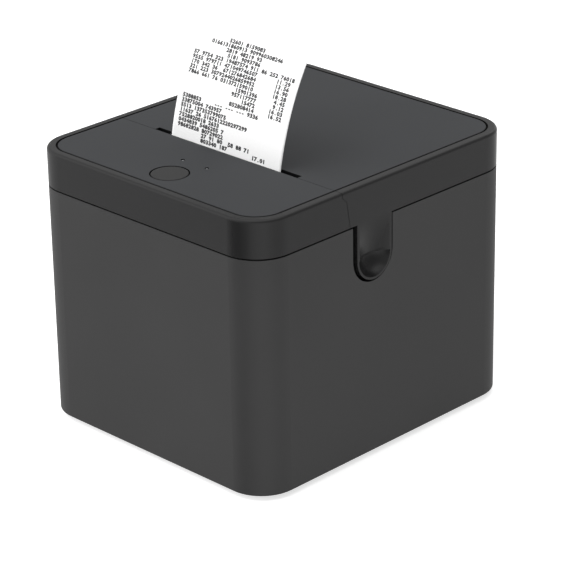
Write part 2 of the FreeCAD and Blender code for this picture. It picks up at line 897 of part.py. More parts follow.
def lid_liner():
    body = new_body("lid_liner")
    wide = half_width - S.liner_side
    rear = hinge_y - S.liner_rear
    low = deck_z - S.liner_thick
    front = liner_front()
    pad(body, "liner_sheet", "XY", low, deck_z, soft_block(-wide, wide, front, rear, S.screw_margin))
    for index in range(5):
        x = -half_paper + S.paper_width * index / 4
        pad(body, "rib_%d" % index, "XY", low - S.rib_height, low + EYE,
            block(x - S.rib_thick / 2, x + S.rib_thick / 2, front + S.rib_thick, rear - S.rib_thick))
    for side, name in ((-1, "left"), (1, "right")):
        start, end = (bracket_in, bracket_out) if side > 0 else (-bracket_out, -bracket_in)
        r = S.bracket_radius
        pad(body, name + "_bracket", "YZ", start, end,
            outline((platen_y - r, low), (platen_y - r, platen_z, r), (platen_y, platen_z - r, r),
                    (platen_y + r, platen_z), (front + r * 2, low), (front + r * 2, deck_z),
                    (platen_y - r + S.free_gap, deck_z)))
        cut(body, name + "_bush_bore", "YZ", start, end, circle(platen_y, platen_z, S.bush_radius))
    cut(body, "liner_screw_holes", "XY", low, deck_z,
        *[circle(x, y, S.pin_radius + S.run_gap) for x, y in lid_screw_places()])
    return keep(body, "lid_liner")


def screw_z(name, x, y, face, down, shank_radius, shank_length):
    """A pan-head screw along Z whose head rests on a face: down says that the shank points down."""
    head_end = face + S.screw_head_thick if down else face - S.screw_head_thick
    tip = face - shank_length if down else face + shank_length
    low_head, high_head = (face, head_end) if down else (head_end, face)
    low_shank, high_shank = (tip, face) if down else (face, tip)
    head = rod_z(name + "_head", S.screw_head, low_head, high_head, x, y)
    shank = rod_z(name + "_shank", shank_radius, low_shank, high_shank, x, y)
    return joined(name, head, shank)


def lid_screws():
    low = deck_z - S.liner_thick
    length = S.liner_thick + S.deck_thick * 0.7
    screws = [screw_z("lid_screw_%d" % i, x, y, low, False, S.pin_radius, length)
              for i, (x, y) in enumerate(lid_screw_places())]
    return keep(group("lid_screws", screws), "lid_screws")


def platen():
    end = frame_out + S.frame_thick
    keep(rod_x("platen_shaft", S.shaft_radius, -end, gear_x1, platen_y, platen_z), "platen_shaft")
    half = half_paper + S.platen_over
    rubber = rod_x("rubber_blank", S.platen_radius, -half, half, platen_y, platen_z)
    bore = rod_x("rubber_bore", S.shaft_radius, -half, half, platen_y, platen_z)
    keep(less("platen_rubber", rubber, bore), "platen_rubber")
    bushes = []
    start = bracket_in - S.platen_over
    for side, name in ((-1, "left"), (1, "right")):
        x0, x1 = (start, end) if side > 0 else (-end, -start)
        sleeve = rod_x(name + "_bush_blank", S.bush_radius, x0, x1, platen_y, platen_z)
        hole = rod_x(name + "_bush_hole", S.shaft_radius + S.run_gap, x0, x1, platen_y, platen_z)
        bushes.append(less(name + "_bush", sleeve, hole))
    keep(group("platen_bushes", bushes), "platen_bushes")


# Involute gears

def gear_outline(teeth, first_tooth):
    """Corner points of a gear about the origin: root, flank, flank, flank and tip on each side of a tooth."""
    module = S.gear_module.value
    pitch = module * teeth / 2
    base = pitch * math.cos(math.radians(S.pressure_angle.value))
    tip = pitch + module * S.addendum.value
    root = pitch - module * S.dedendum.value

    def involute(radius):
        lean = math.acos(min(1.0, base / radius))
        return math.tan(lean) - lean

    half_pitch = math.pi / teeth / 2 - S.backlash.value / 2 / pitch
    low = max(base, root)
    radii = [low + (tip - low) * step / 3 for step in range(4)]
    flank = [(root, half_pitch + involute(pitch) - involute(low))]
    flank += [(radius, half_pitch + involute(pitch) - involute(radius)) for radius in radii]
    points = []
    for tooth in range(teeth):
        middle = math.radians(first_tooth) + 2 * math.pi * tooth / teeth
        for radius, half in flank:
            points.append((radius * math.cos(middle - half), radius * math.sin(middle - half)))
        for radius, half in reversed(flank):
            points.append((radius * math.cos(middle + half), radius * math.sin(middle + half)))
    return points


def gear_solid(teeth, first_tooth, x0, x1, bore):
    """A spur gear about the X axis, from x0 to x1."""
    corners = [FreeCAD.Vector(x0, y, z) for y, z in gear_outline(teeth, first_tooth)]
    face = Part.Face(Part.makePolygon(corners + corners[:1]))
    solid = face.extrude(FreeCAD.Vector(x1 - x0, 0, 0))
    hole = Part.makeCylinder(bore, x1 - x0, FreeCAD.Vector(x0, 0, 0), FreeCAD.Vector(1, 0, 0))
    return solid.cut(hole)


def gear_piece(label, shape, y, z):
    piece = doc.addObject("Part::Feature", label)
    piece.Shape = shape
    piece.Placement = FreeCAD.Placement(FreeCAD.Vector(0, y.value, z.value), FreeCAD.Rotation())
    return keep(piece, label)


def gears():
    """The train: pinion, two-step reduction gear and platen gear, each set tooth into gap."""
    teeth = {name: int(cell(name + "_teeth").value) for name in ("platen", "small", "large", "pinion")}
    down, up = 270.0, 90.0
    angle = S.motor_angle.value
    gear_piece("platen_gear",
               gear_solid(teeth["platen"], down + 180.0 / teeth["platen"], gear_x0.value, gear_x1.value,
                          (S.shaft_radius + S.fit_gap).value), platen_y, platen_z)
    bore = (S.stud_radius + S.run_gap).value
    small = gear_solid(teeth["small"], up, gear_x0.value, drive_x0.value, bore)
    large = gear_solid(teeth["large"], angle, drive_x0.value, drive_x1.value, bore)
    gear_piece("reduction_gear", small.fuse(large).removeSplitter(), stud_y, stud_z)
    gear_piece("motor_pinion",
               gear_solid(teeth["pinion"], angle + 180 + 180.0 / teeth["pinion"], drive_x0.value,
                          drive_x1.value, (S.motor_shaft_radius + S.fit_gap).value), motor_y, motor_z)
    head = drive_x1 + S.free_gap
    pin = rod_x("stud_pin", S.stud_radius, frame_in, head, stud_y, stud_z)
    cap = rod_x("stud_cap", S.stud_cap, head, head + S.frame_thick, stud_y, stud_z)
    keep(joined("gear_stud", pin, cap), "gear_stud")


def feed_motor():
    start = frame_in - S.motor_length
    can = rod_x("motor_can", S.motor_radius, start, frame_in, motor_y, motor_z)
    boss = rod_x("motor_nose", S.motor_boss, frame_in, frame_out, motor_y, motor_z)
    bore = rod_x("motor_bore", S.motor_shaft_radius + S.run_gap, start + S.wall, frame_out, motor_y, motor_z)
    keep(less("feed_motor", joined("motor_body", can, boss), bore), "feed_motor")
    keep(rod_x("motor_shaft", S.motor_shaft_radius, start + S.wall + S.free_gap, drive_x1, motor_y, motor_z),
         "motor_shaft")


# Print unit

def print_frame():
    body = new_body("print_frame")
    top = platen_z + S.frame_rise
    pad(body, "frame_floor", "XY", frame_low, floor_top, block(-frame_out, frame_out, frame_y0, floor_y1))
    for start, end, name in ((-frame_out, -frame_in, "left"), (frame_in, frame_out, "right")):
        pad(body, name + "_plate", "YZ", start, end, side_plate_outline(top))
        slot = S.bush_radius + S.free_gap
        cut(body, name + "_platen_slot", "YZ", start, end,
            outline((platen_y - slot, top + OVER), (platen_y - slot, platen_z, slot),
                    (platen_y, platen_z - slot, slot), (platen_y + slot, platen_z),
                    (platen_y + slot, top + OVER)))
        cut(body, name + "_pivot_hole", "YZ", start, end, circle(pivot_y, pivot_z, S.pivot_radius + S.fit_gap))
    cut(body, "stud_hole", "YZ", frame_in, frame_out, circle(stud_y, stud_z, S.stud_radius + S.fit_gap))
    cut(body, "motor_hole", "YZ", frame_in, frame_out, circle(motor_y, motor_z, S.motor_boss + S.fit_gap))
    pad(body, "spring_wall", "XZ", frame_y0, frame_y0 + S.frame_thick,
        block(-frame_out, frame_out, frame_low, spring_z + S.spring_radius + S.side_gap))
    cut(body, "frame_screw_holes", "XY", frame_low, floor_top,
        *[circle(x, y, S.pin_radius + S.run_gap) for x, y in frame_screw_places()])
    return keep(body, "print_frame")


def side_plate_outline(top):
    """The side plate, cut away at the lower rear so that the paper can pass."""
    return outline((frame_y0, frame_low), (floor_y1, frame_low), (frame_y1, stud_z), (frame_y1, top),
                   (pivot_y, top), (frame_y0, platen_z))


def frame_screw_places():
    return [(side * cheek_in / 2, y) for side in (-1, 1)
            for y in (frame_y0 + S.screw_margin, floor_y1 - S.screw_margin)]


def frame_screws():
    length = S.frame_thick + S.trough_thick
    screws = [screw_z("frame_screw_%d" % i, x, y, floor_top, True, S.pin_radius, length)
              for i, (x, y) in enumerate(frame_screw_places())]
    return keep(group("frame_screws", screws), "frame_screws")


def head_half():
    return bracket_in - S.side_gap


def print_head():
    half = head_half()
    low = platen_z - S.head_below
    high = platen_z + S.head_above
    keep(solid_box("print_head", -half, half, head_back, head_face, low, high), "print_head")
    body = new_body("head_sink")
    web = head_back - S.sink_thick + S.sink_fin
    pad(body, "sink_bar", "YZ", -half, half,
        outline((head_back, low), (head_back, high), (web, high), (web, high - S.sink_fin),
                (sink_back, high - S.sink_fin), (sink_back, low)))
    count = int(S.fin_count.value)
    for index in range(count):
        x = half * (index * 2 + 1 - count) / count
        place_cut = block(x - S.sink_fin, x + S.sink_fin, web, web + S.sink_fin / 2)
        cut(body, "fin_gap_%d" % index, "XY", high - S.sink_fin, high, place_cut)
    cut(body, "pivot_bore", "YZ", -half, half, circle(pivot_y, pivot_z, S.pivot_radius + S.run_gap))
    keep(body, "head_sink")
    keep(rod_x("head_pivot", S.pivot_radius, -frame_out, frame_out, pivot_y, pivot_z), "head_pivot")


def spring_places():
    return (-S.spring_reach, S.spring_reach)


def head_springs():
    springs = []
    start = frame_y0 + S.frame_thick
    for index, x in enumerate(spring_places()):
        coil = rod_y("spring_blank_%d" % index, S.spring_radius, start, sink_back, x, spring_z)
        bore = rod_y("spring_bore_%d" % index, S.spring_bore, start, sink_back, x, spring_z)
        springs.append(less("spring_%d" % index, coil, bore))
    return keep(group("head_springs", springs), "head_springs")


def tear_bar():
    """A serrated strip under the front edge of the slot, with its teeth just short of the paper."""
    body = new_body("tear_bar")
    edge = split_y - S.split_gap / 2 - S.slot_relief
    half = int(S.slot_length.value / 2 / S.bar_pitch.value)
    corners = [(-S.bar_pitch * half, edge - S.bar_depth)]
    corners += [(S.bar_pitch * half, edge - S.bar_depth)]
    for index in range(half, -half, -1):
        corners.append((S.bar_pitch * index, edge - S.bar_pitch / 2))
        corners.append((S.bar_pitch * (index - 0.5), edge))
    corners.append((-S.bar_pitch * half, edge - S.bar_pitch / 2))
    pad(body, "bar", "XY", deck_z - S.bar_thick, deck_z, outline(*corners))
    return keep(body, "tear_bar")


def paper_sensor():
    half = S.sensor_width / 2
    return keep(solid_box("paper_sensor", -half, half, floor_y1 - S.sensor_depth, floor_y1, floor_top,
                          floor_top + S.sensor_height), "paper_sensor")


# Roll carrier, paper roll and paper

def paper_carrier():
    body = new_body("paper_carrier")
    outer = trough_radius + S.trough_thick
    lip_front = trough_y - trough_radius
    lip_rear = trough_y + trough_radius
    wall = S.trough_thick
    pad(body, "trough", "YZ", -cheek_in, cheek_in,
        outline((trough_front, trough_z, outer), (trough_y, trough_z - outer, outer),
                (trough_rear, trough_z), (trough_rear, S.cheek_height),
                (lip_rear, S.cheek_height), (lip_rear, trough_z, -trough_radius),
                (trough_y, S.trough_floor, -trough_radius), (lip_front, trough_z)))
    for start, end, name in ((-cheek_out, -cheek_in, "left"), (cheek_in, cheek_out, "right")):
        pad(body, name + "_cheek", "YZ", start, end, cheek_outline())
        cut(body, name + "_window", "YZ", start, end, circle(trough_y, roll_z, S.window_radius))
    pad(body, "shelf", "XY", frame_low - wall, frame_low, block(-cheek_in, cheek_in, frame_y0, floor_y1))
    cut(body, "shelf_holes", "XY", frame_low - wall, frame_low,
        *[circle(x, y, S.pin_radius + S.run_gap) for x, y in frame_screw_places()])
    return keep(body, "paper_carrier")


def cheek_outline():
    """One cheek of the carrier: three legs, the roll's side and the arm that carries the print unit."""
    leg = S.leg_width
    arm_low = frame_low - S.arm_depth
    belly = S.trough_floor - S.trough_thick
    mid_leg = trough_front + leg
    rear_leg = trough_rear - leg
    return outline(
        (frame_y0, plate_top), (frame_y0 + leg, plate_top), (frame_y0 + leg, arm_low),
        (trough_front, arm_low), (trough_front, plate_top), (mid_leg, plate_top),
        (mid_leg, belly + leg), (trough_y - leg, belly), (rear_leg - leg, belly),
        (rear_leg - leg, plate_top), (rear_leg, plate_top), (rear_leg, belly), (trough_rear, belly + leg),
        (trough_rear, S.cheek_height),
        (trough_y - leg * 2, S.cheek_height), (trough_front + S.trough_thick, frame_low),
        (frame_y0, frame_low))


def paper_roll():
    blank = rod_x("roll_blank", roll_radius, -half_paper, half_paper, trough_y, roll_z)
    bore = rod_x("roll_bore", S.core_radius, -half_paper, half_paper, trough_y, roll_z)
    keep(less("paper_roll", blank, bore), "paper_roll")
    tube = rod_x("core_blank", S.core_radius, -half_paper, half_paper, trough_y, roll_z)
    hole = rod_x("core_hole", S.core_bore, -half_paper, half_paper, trough_y, roll_z)
    keep(less("roll_core", tube, hole), "roll_core")


def paper_line():
    """The line that touches the roll and the platen in front: its normal and its two touching points."""
    run_y = platen_y - trough_y
    run_z = platen_z - roll_z
    span = root_of(run_y * run_y + run_z * run_z)
    roll_reach = roll_radius + S.nip_gap
    platen_reach = S.platen_radius + S.nip_gap
    sink = (roll_reach - platen_reach) / span
    rise = root_of(1 - sink * sink)
    normal_y = (run_y * sink - run_z * rise) / span
    normal_z = (run_z * sink + run_y * rise) / span
    return normal_y, normal_z, roll_reach, platen_reach


def paper_web():
    body = new_body("paper_web")
    normal_y, normal_z, roll_reach, platen_reach = paper_line()
    roll_face = roll_reach + S.paper_thick
    end_y = platen_y - normal_z * S.free_gap
    end_z = platen_z + normal_y * S.free_gap
    platen_face = platen_reach + S.paper_thick
    pad(body, "web", "YZ", -half_paper, half_paper,
        outline((trough_y + normal_y * roll_reach, roll_z + normal_z * roll_reach),
                (end_y + normal_y * platen_reach, end_z + normal_z * platen_reach),
                (end_y + normal_y * platen_face, end_z + normal_z * platen_face),
                (trough_y + normal_y * roll_face, roll_z + normal_z * roll_face)))
    return keep(body, "paper_web")


def receipt():
    """Paper from the platen: round its front, straight past the head, a bend at the slot, then a slow curl."""
    body = new_body("receipt")
    thick = S.paper_thick
    normal_y, normal_z, roll_reach, platen_reach = paper_line()
    platen_face = platen_reach + thick
    bend_z = platen_z + S.receipt_straight
    bend_y = nip_back + S.exit_bend
    lean_sine = sine(S.exit_lean)
    lean_cosine = cosine(S.exit_lean)
    end_sine = sine(S.curl_end)
    end_cosine = cosine(S.curl_end)
    curl_y = bend_y + (S.curl_radius - S.exit_bend) * lean_cosine
    curl_z = bend_z - (S.curl_radius - S.exit_bend) * lean_sine

    def along(centre_y, centre_z, radius, across, up):
        return (centre_y - radius * across, centre_z + radius * up)

    back = (S.exit_bend, S.curl_radius)
    face = (S.exit_bend + thick, S.curl_radius + thick)
    pad(body, "strip", "YZ", -half_paper, half_paper,
        outline((nip_front, platen_z, platen_face),
                (platen_y + normal_y * platen_face, platen_z + normal_z * platen_face),
                (platen_y + normal_y * platen_reach, platen_z + normal_z * platen_reach, -platen_reach),
                (nip_back, platen_z), (nip_back, bend_z, -back[0]),
                (*along(bend_y, bend_z, back[0], lean_cosine, lean_sine), -back[1]),
                along(curl_y, curl_z, back[1], end_cosine, end_sine),
                (*along(curl_y, curl_z, face[1], end_cosine, end_sine), face[1]),
                (*along(bend_y, bend_z, face[0], lean_cosine, lean_sine), face[0]),
                (nip_front, bend_z)))
    tip_z = curl_z + S.curl_radius * end_sine
    cut(body, "torn_tip", "XZ", front_y, rear_y,
        outline((-half_paper - OVER, tip_z - S.tip_slant), (half_paper, tip_z), (half_paper, tip_z + OVER),
                (-half_paper - OVER, tip_z + OVER)))
    return keep(body, "receipt")


# Bottom plate, feet and screws

def foot_places():
    x = half_width - S.foot_inset
    y = rear_y - S.foot_inset
    return [(i * x, j * y) for i in (-1, 1) for j in (-1, 1)]


def boss_places():
    return [(i * boss_x, j * boss_y) for i in (-1, 1) for j in (-1, 1)]


def board_post_places():
    x = S.board_half - S.screw_margin
    return [(side * x, y) for side in (-1, 1)
            for y in (board_front + S.screw_margin, socket_y() - S.screw_margin)]


def bottom_plate():
    body = new_body("bottom_plate")
    pad(body, "plate", "XY", base_z, plate_top, body_outline(S.wall + S.plate_gap))
    cut(body, "foot_seats", "XY", base_z, base_z + S.foot_sink,
        *[circle(x, y, S.foot_radius) for x, y in foot_places()])
    cut(body, "screw_holes", "XY", base_z, plate_top,
        *[circle(x, y, S.screw_radius + S.run_gap) for x, y in boss_places()])
    cut(body, "screw_seats", "XY", base_z, base_z + S.screw_head_thick,
        *[circle(x, y, S.screw_head + S.run_gap) for x, y in boss_places()])
    pad(body, "posts", "XY", plate_top, board_z,
        *[circle(x, y, S.post_radius) for x, y in board_post_places()])
    slots = []
    for index in range(-2, 3):
        y = S.vent_pitch * index - S.body_depth / 6
        half = S.vent_length / 2
        slots.append(soft_block(-half, half, y - S.vent_width / 2, y + S.vent_width / 2, S.vent_round))
    cut(body, "vents", "XY", base_z, plate_top, *slots)
    return keep(body, "bottom_plate")


def rubber_feet():
    feet = [rod_z("foot_%d" % i, S.foot_radius, ZERO, base_z + S.foot_sink, x, y)
            for i, (x, y) in enumerate(foot_places())]
    return keep(group("rubber_feet", feet), "rubber_feet")


def base_screws():
    face = base_z + S.screw_head_thick
    screws = [screw_z("base_screw_%d" % i, x, y, face, False, S.screw_radius, S.screw_length)
              for i, (x, y) in enumerate(boss_places())]
    return keep(group("base_screws", screws), "base_screws")


# Feed button, lights and their board

def feed_button():
    flange_top = deck_z - S.free_gap
    flange_low = flange_top - S.button_flange_thick
    stem_low = button_board_top + S.switch_height + S.button_travel + S.nip_gap
    body = new_body("feed_button")
    pad(body, "button_flange_disc", "XY", flange_low, flange_top, circle(ZERO, button_y, S.button_flange))
    pad(body, "button_cap", "XY", flange_low, top_z, circle(ZERO, button_y, S.button_radius))
    pad(body, "button_stem_rod", "XY", stem_low, flange_low + EYE, circle(ZERO, button_y, S.button_stem))
    round_edges(body, "button_edge", S.button_round, at_height(top_z))
    return keep(body, "feed_button")


def status_lights():
    light_top = top_z - S.light_sink
    pipes = [rod_z("light_%d" % i, S.light_radius, button_board_top, light_top, side * S.light_spread, light_y)
             for i, side in enumerate((-1, 1))]
    return keep(group("status_lights", pipes), "status_lights")


def button_board():
    body = new_body("button_board")
    half = S.button_board_width / 2
    deep = S.button_board_depth / 2
    middle = (button_y + light_y) / 2
    pad(body, "button_card", "XY", button_board_top - S.board_thick, button_board_top,
        soft_block(-half, half, middle - deep, middle + deep, S.button_stem))
    keep(body, "button_board")
    reach = S.switch_size / 2
    keep(solid_box("feed_switch", -reach, reach, button_y - reach, button_y + reach, button_board_top,
                   button_board_top + S.switch_height), "feed_switch")


# Main board and rear sockets

SOCKETS = ("usb", "lan", "drawer")


def main_board():
    body = new_body("main_board")
    pad(body, "card", "XY", board_z, board_top, block(-S.board_half, S.board_half, board_front, board_rear))
    leg_rear = trough_rear - S.leg_width
    gap = S.free_gap
    for start, end, name in ((-cheek_out, -cheek_in, "left"), (cheek_in, cheek_out, "right")):
        cut(body, name + "_leg_notch", "XY", board_z, board_top,
            block(start - gap, end + gap, leg_rear - S.leg_width - gap, leg_rear + gap))
    return keep(body, "main_board")


def socket_y():
    return socket_face - S.socket_depth


def socket_block(name, gap=ZERO):
    """The outline of one socket on the rear face, drawn larger by a gap for its hole in the panel."""
    x = cell(name + "_place")
    half = cell(name + "_width") / 2 + gap
    return x - half, x + half, board_top - gap, board_top + cell(name + "_height") + gap


def sockets():
    for name in SOCKETS:
        label = name + "_socket"
        x0, x1, z0, z1 = socket_block(name)
        shell = solid_box(label + "_block", x0, x1, socket_y(), socket_face, z0, z1)
        x = cell(name + "_place")
        half = cell(name + "_mouth_width") / 2
        low = z0 + cell(name + "_mouth_lift")
        hole = solid_box(label + "_hole", x - half, x + half, socket_face - S.mouth_depth, socket_face, low,
                         low + cell(name + "_mouth_height"))
        keep(less(label, shell, hole), label)
    x0, x1, z0, z1 = socket_block("jack")
    shell = solid_box("jack_block", x0, x1, socket_y(), socket_face, z0, z1)
    middle = (z0 + z1) / 2
    bottom = socket_face - S.mouth_depth
    bore = rod_y("jack_bore_rod", S.jack_bore, bottom, socket_face, S.jack_place, middle)
    pin = rod_y("jack_pin_rod", S.jack_pin, bottom, socket_face - S.pin_setback, S.jack_place, middle)
    keep(joined("dc_jack", less("jack_shell", shell, bore), pin), "dc_jack")


def rocker_frame_half():
    return S.rocker_half + S.free_gap + S.panel_thick


def rocker_frame_rise():
    return S.rocker_rise + S.free_gap * 2 + S.panel_thick


def port_panel():
    body = new_body("port_panel")
    margin = S.panel_margin
    half = S.window_half + margin
    pad(body, "panel_sheet", "XZ", panel_y, rear_inner,
        block(-half, half, base_z + S.window_low - margin, base_z + S.window_high + margin))
    holes = [block(*socket_block(name, S.socket_gap)) for name in SOCKETS + ("jack",)]
    x = S.rocker_place
    holes.append(block(x - rocker_frame_half(), x + rocker_frame_half(), window_mid - rocker_frame_rise(),
                       window_mid + rocker_frame_rise()))
    cut(body, "panel_holes", "XZ", panel_y, rear_inner, *holes)
    return keep(body, "port_panel")


def power_switch():
    """A rocker in a frame: one half lies flush, and the other stands proud."""
    x = S.rocker_place
    wide = rocker_frame_half()
    rise = rocker_frame_rise()
    face = rear_inner + S.socket_proud
    pivot = rocker_pivot()
    back = pivot - S.rocker_half
    frame = new_body("switch_frame")
    pad(frame, "switch_block", "XZ", back - S.panel_thick, face,
        block(x - wide, x + wide, window_mid - rise, window_mid + rise))
    inner = S.rocker_half + S.free_gap
    cut(frame, "switch_cavity", "XZ", back, face,
        block(x - inner, x + inner, window_mid - rise + S.panel_thick, window_mid + rise - S.panel_thick))
    stub = inner + S.panel_thick / 2
    cut(frame, "rocker_bores", "YZ", x - stub, x + stub, circle(pivot, window_mid, S.rocker_pin + S.run_gap))
    keep(frame, "switch_frame")
    rocker = new_body("power_rocker")
    flush = face - S.free_gap
    proud = flush + S.rocker_rise * tangent(S.rocker_tip)
    depth = pivot - S.rocker_pin * 2
    pad(rocker, "rocker", "YZ", x - S.rocker_half, x + S.rocker_half,
        outline((depth, window_mid - S.rocker_rise), (flush, window_mid - S.rocker_rise), (flush, window_mid),
                (proud, window_mid + S.rocker_rise), (depth, window_mid + S.rocker_rise)))
    pad(rocker, "rocker_pins", "YZ", x - stub, x + stub, circle(pivot, window_mid, S.rocker_pin))
    keep(rocker, "power_rocker")


def rocker_pivot():
    return rear_inner + S.socket_proud - S.free_gap - S.rocker_sink


def build():
    lower_housing()
    bottom_plate()
    rubber_feet()
    base_screws()
    front_cover()
    front_panel()
    lid_shell()
    lid_panel()
    hinge_pins()
    lid_liner()
    lid_screws()
    platen()
    gears()
    feed_motor()
    print_frame()
    frame_screws()
    print_head()
    head_springs()
    tear_bar()
    paper_sensor()
    paper_carrier()
    paper_roll()
    paper_web()
    receipt()
    feed_button()
    status_lights()
    button_board()
    main_board()
    sockets()
    port_panel()
    power_switch()


def check():
    """Stops on any failed feature, and on any sub-part without a valid shape."""
    doc.recompute()
    for thing in doc.Objects:
        if "Invalid" in thing.State or "Error" in thing.State:
            raise ValueError("%s failed: %s" % (thing.Label, thing.State))
    for piece in SUBPARTS:
        if piece.Shape.isNull() or not piece.Shape.isValid():
            raise ValueError(piece.Label + " has no valid shape")


def write():
    os.makedirs("parts", exist_ok=True)
    for piece in SUBPARTS:
        piece.Shape.exportStep("parts/%s.step" % piece.Label)
        print("%-16s solids %d volume %.1f" % (piece.Label, len(piece.Shape.Solids), piece.Shape.Volume))


build()
check()
write()
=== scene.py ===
"""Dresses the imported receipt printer: a finish for every piece, the paper with its print, the fine parts of
the sockets, springs and rocker, and the floor, lights and camera of the photograph."""
import json
import math
import random

import bpy
from mathutils import Matrix, Vector


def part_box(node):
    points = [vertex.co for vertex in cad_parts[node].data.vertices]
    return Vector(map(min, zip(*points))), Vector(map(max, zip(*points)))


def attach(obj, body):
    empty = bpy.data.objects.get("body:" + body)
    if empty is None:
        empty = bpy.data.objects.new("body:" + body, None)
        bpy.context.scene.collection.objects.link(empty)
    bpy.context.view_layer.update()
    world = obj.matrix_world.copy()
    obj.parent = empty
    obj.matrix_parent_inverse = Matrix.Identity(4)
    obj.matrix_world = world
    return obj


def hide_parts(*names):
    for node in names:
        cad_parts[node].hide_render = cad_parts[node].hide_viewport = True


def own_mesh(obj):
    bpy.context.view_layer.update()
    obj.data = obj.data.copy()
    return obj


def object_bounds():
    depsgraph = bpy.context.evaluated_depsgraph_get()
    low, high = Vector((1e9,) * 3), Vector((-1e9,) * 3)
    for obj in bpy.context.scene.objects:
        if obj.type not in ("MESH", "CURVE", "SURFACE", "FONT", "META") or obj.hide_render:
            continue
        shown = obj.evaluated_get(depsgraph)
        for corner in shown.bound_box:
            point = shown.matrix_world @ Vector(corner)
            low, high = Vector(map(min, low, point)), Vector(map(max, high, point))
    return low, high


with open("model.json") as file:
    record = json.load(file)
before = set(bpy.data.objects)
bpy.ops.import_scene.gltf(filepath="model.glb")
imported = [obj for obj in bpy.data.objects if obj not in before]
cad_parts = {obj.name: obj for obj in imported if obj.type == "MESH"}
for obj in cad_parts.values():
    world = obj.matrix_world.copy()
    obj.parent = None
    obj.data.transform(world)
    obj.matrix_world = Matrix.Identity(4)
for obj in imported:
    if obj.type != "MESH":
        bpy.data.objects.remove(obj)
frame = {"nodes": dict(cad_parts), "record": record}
CAD_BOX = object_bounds()
NODES = frame["nodes"]
SLOT_OF = {subpart["node"]: subpart["material_slot"] for subpart in frame["record"]["subparts"]}
OPENINGS = {opening["name"]: [Vector(corner) for corner in opening["box_m"]]
            for opening in frame["record"]["physics"]["openings"]}
MM = 0.001
MICRON = 0.001 * MM


# Shader nodes

def shade(colour, factor):
    return tuple(channel * factor for channel in colour)


def opaque(colour):
    return (*colour, 1.0)


def grey(level):
    return opaque((level, level, level))


class NodeTree:
    """A tree of shader nodes, with short calls that add nodes and join them."""

    def __init__(self, tree):
        self.tree = tree

    def join(self, value, socket):
        """Joins another node's output to a socket, or sets the socket where a plain value is given."""
        if isinstance(value, bpy.types.NodeSocket):
            self.tree.links.new(value, socket)
        else:
            socket.default_value = value

    def give(self, node, **inputs):
        """Fills inputs of a node by name, with _ for a space."""
        for name, value in inputs.items():
            self.join(value, node.inputs[name.replace("_", " ")])

    def add(self, kind, **inputs):
        node = self.tree.nodes.new(kind)
        self.give(node, **inputs)
        return node

    def place(self, space="Object"):
        return self.add("ShaderNodeTexCoord").outputs[space]

    def axes(self, vector):
        return self.add("ShaderNodeSeparateXYZ", Vector=vector).outputs

    def calculate(self, operation, *values):
        node = self.add("ShaderNodeMath")
        node.operation = operation
        for value, socket in zip(values, node.inputs):
            self.join(value, socket)
        return node.outputs["Value"]

    def noise(self, place, scale, detail=3.0, roughness=0.55):
        node = self.add("ShaderNodeTexNoise", Vector=place, Scale=scale, Detail=detail, Roughness=roughness)
        return node.outputs["Fac"]

    def spread(self, value, low, high, start=0.3, end=0.7):
        """Carries a value between start and end over to one between low and high, held there beyond."""
        node = self.add("ShaderNodeMapRange", Value=value, From_Min=start, From_Max=end,
                        To_Min=low, To_Max=high)
        return node.outputs["Result"]

    def ramp(self, value, first, last, start=0.3, end=0.7):
        """Carries a value between start and end over to a colour between first and last."""
        node = self.add("ShaderNodeValToRGB", Fac=value)
        for stop, position, colour in zip(node.color_ramp.elements, (start, end), (first, last)):
            stop.position = position
            stop.color = opaque(colour)
        return node.outputs["Color"]

    def mix(self, share, first, last):
        return self.add("ShaderNodeMixRGB", Fac=share, Color1=first, Color2=last).outputs["Color"]


class Finish(NodeTree):
    """The node tree of a new material."""

    def __init__(self, name):
        self.material = bpy.data.materials.new(name)
        self.material.use_nodes = True
        super().__init__(self.material.node_tree)
        self.shader = self.tree.nodes["Principled BSDF"]

    def show(self, **inputs):
        """Fills inputs of the material's own shader."""
        self.give(self.shader, **inputs)

    def bump(self, height, distance):
        self.show(Normal=self.add("ShaderNodeBump", Height=height, Distance=distance).outputs["Normal"])


# Kinds of finish

def painted_groove_shade(finish, coat, edge, top):
    """The coat on a sheet's flat top, and painted shade below it: the rim darkened where it rounds down into
    the groove.
    """
    # Painted shade: dark below this depth under the top, fading to the coat just under the top
    shade_depth, feather = 0.12 * MM, 0.012 * MM
    height = finish.axes(finish.place())["Z"]
    unshaded = finish.spread(height, 0.0, 1.0, top - shade_depth, top - feather)
    return finish.mix(unshaded, opaque(edge), coat)


def moulded(name, colour, rough, grain, depth, level=0.5, vary=0.06, change=0.04, top=None):
    """Moulded plastic: a fine eroded grain, a slow drift of colour and a little change in gloss.
    A sheet whose top is given gets painted shade on its rim where it rounds down below that top."""
    drift_scale, drift_detail = 14.0, 2.0
    grain_detail, grain_roughness = 2.0, 0.6
    # Painted shade in the groove: the rim's colour as a share of the plastic's own colour
    groove_shade_share = 0.1
    finish = Finish(name)
    place = finish.place()
    drift = finish.noise(place, drift_scale, drift_detail)
    base = finish.ramp(drift, shade(colour, 1 - vary), shade(colour, 1 + vary))
    # Painted shade on the rim below a given top, where it rounds down into the groove
    if top is not None:
        base = painted_groove_shade(finish, base, shade(colour, groove_shade_share), top)
    fine = finish.noise(place, 1.0 / grain, grain_detail, grain_roughness)
    gloss = finish.spread(fine, rough - change, rough + change)
    finish.show(Base_Color=base, Roughness=gloss, Specular_IOR_Level=level)
    finish.bump(fine, depth)
    return finish.material


